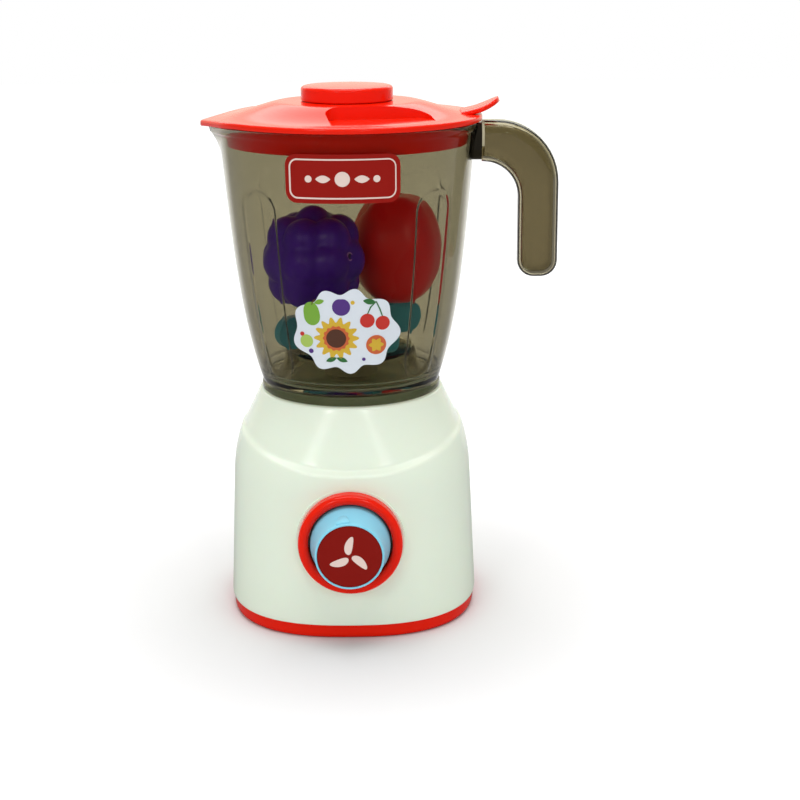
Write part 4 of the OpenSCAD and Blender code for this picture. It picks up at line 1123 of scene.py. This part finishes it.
# ---------------- floor, light and view, in metres
# A reflection grows to full white as its direction turns to the back, between the two shares of +Y in
# WORLD_FADE and FLOOR_FADE. FLOOR_GLOW rises by (start, end, rise) with the distance from the middle.
SKY_LEVEL = 0.47
SIDE_LEVEL = 0.35
REFLECTED_TINT = (1.0, 0.98, 0.8, 1)
WORLD_FADE = (0.5, 0.85)
FLOOR_FADE = (0.7, 0.95)
FLOOR_WHITE = 0.73
FLOOR_GLOW = ((0.066, 0.2, 0.22), (0.2, 1.7, 0.5))
FLOOR_HALF_MM = 3000
JUG_MIDDLE = (0, 0, 0.16)
LAMP_AIM = (0, 0, 0.14)
# Name, place, width and height, watts.
LAMPS = (
    ("lamp_left", (-0.42, -0.95, 0.62), (0.20, 0.12), 1.3),
    ("lamp_right", (0.30, -1.0, 0.62), (0.13, 0.12), 1.0),
    ("front_box", (0.0, -1.7, 0.55), (2.4, 0.16), 1.6),
    ("top_box", (0.0, 0.05, 1.5), (1.2, 1.2), 19.0),
    ("back_box", (0.0, 1.1, 1.0), (1.6, 0.9), 5.0),
)


def seen_directly(tree):
    """A factor of 1 for rays of the camera, of reflections and through clear plastic."""
    path = node(tree, "ShaderNodeLightPath").outputs
    first = maths(tree, "MAXIMUM", path["Is Camera Ray"], path["Is Glossy Ray"])
    return maths(tree, "MAXIMUM", first, path["Is Transmission Ray"])


def reflected_level(tree, towards, start, full):
    """1, but lower for reflections of the studio's sides and front. towards is a unit vector's socket."""
    back = node(tree, "ShaderNodeSeparateXYZ", {0: towards}).outputs["Y"]
    side = ramp(tree, back, start, full, SIDE_LEVEL, 1.0)
    glossy = node(tree, "ShaderNodeLightPath").outputs["Is Glossy Ray"]
    return ramp(tree, glossy, 0.0, 1.0, 1.0, side)


def make_world():
    """Even light from all round, and white where it is seen or reflected."""
    world = bpy.data.worlds.new("studio")
    bpy.context.scene.world = world
    world.use_nodes = True
    tree = world.node_tree
    tree.nodes.clear()
    towards = node(tree, "ShaderNodeTexCoord").outputs["Generated"]
    glossy = node(tree, "ShaderNodeLightPath").outputs["Is Glossy Ray"]
    tint = node(tree, "ShaderNodeMix", {0: glossy, 6: WHITE, 7: REFLECTED_TINT}, data_type="RGBA").outputs[2]
    sky = node(tree, "ShaderNodeBackground", {"Color": WHITE, "Strength": SKY_LEVEL})
    white = node(tree, "ShaderNodeBackground", {
        "Color": tint, "Strength": reflected_level(tree, towards, *WORLD_FADE)})
    seen = either(tree, seen_directly(tree), sky.outputs[0], white.outputs[0])
    node(tree, "ShaderNodeOutputWorld", {"Surface": seen})


def make_floor():
    """A white floor that keeps the object's shadow and, where it is seen, glows more away from it."""
    h = FLOOR_HALF_MM
    floor = new_object("floor", [(-h, -h, 0), (h, -h, 0), (h, h, 0), (-h, h, 0)], [(0, 1, 2, 3)])
    mat = bpy.data.materials.new("floor_white")
    mat.use_nodes = True
    tree = mat.node_tree
    tree.nodes.clear()

    def vector(operation, inputs, output=0):
        return node(tree, "ShaderNodeVectorMath", inputs, operation=operation).outputs[output]

    place = node(tree, "ShaderNodeNewGeometry").outputs["Position"]
    towards = vector("NORMALIZE", {0: vector("SUBTRACT", {0: place, 1: JUG_MIDDLE})})
    away = vector("LENGTH", {0: place}, "Value")
    level = reflected_level(tree, towards, *FLOOR_FADE)
    matt = node(tree, "ShaderNodeBsdfDiffuse", {"Color": maths(tree, "MULTIPLY", level, FLOOR_WHITE)})
    near, far = (ramp(tree, away, start, end, 0.0, rise) for start, end, rise in FLOOR_GLOW)
    glow = maths(tree, "MULTIPLY", level, maths(tree, "ADD", near, far))
    none = node(tree, "ShaderNodeEmission", {"Strength": 0.0})
    bright = node(tree, "ShaderNodeEmission", {"Strength": glow})
    seen = either(tree, seen_directly(tree), none.outputs[0], bright.outputs[0])
    both = node(tree, "ShaderNodeAddShader", {0: matt.outputs[0], 1: seen})
    node(tree, "ShaderNodeOutputMaterial", {"Surface": both.outputs[0]})
    floor.data.materials.append(mat)


def make_lamp(name, at, size, watts):
    """A flat lamp of that width and height, aimed at the middle of the object."""
    data = bpy.data.lights.new(name, "AREA")
    data.shape = "RECTANGLE"
    data.size, data.size_y = size
    data.energy = watts
    lamp = bpy.data.objects.new(name, data)
    bpy.context.collection.objects.link(lamp)
    place = Vector(at)
    aim = Vector(LAMP_AIM) - place
    lamp.matrix_world = Matrix.Translation(place) @ aim.to_track_quat("-Z", "Y").to_matrix().to_4x4()


def make_light():
    make_world()
    make_floor()
    for lamp in LAMPS:
        make_lamp(*lamp)
    bpy.context.scene.view_settings.view_transform = "Standard"


def main():
    make_camera()
    make_light()
    mats = make_materials()
    finish_cad_nodes(mats)
    for make in (make_base_shell, make_base_plate, make_bezel, make_knob, make_disc, make_jug, make_handle,
                 make_handle_root, make_label, make_sticker, make_lid, make_cap, make_berry, make_tomato):
        make(mats)
    bpy.context.view_layer.update()


main()
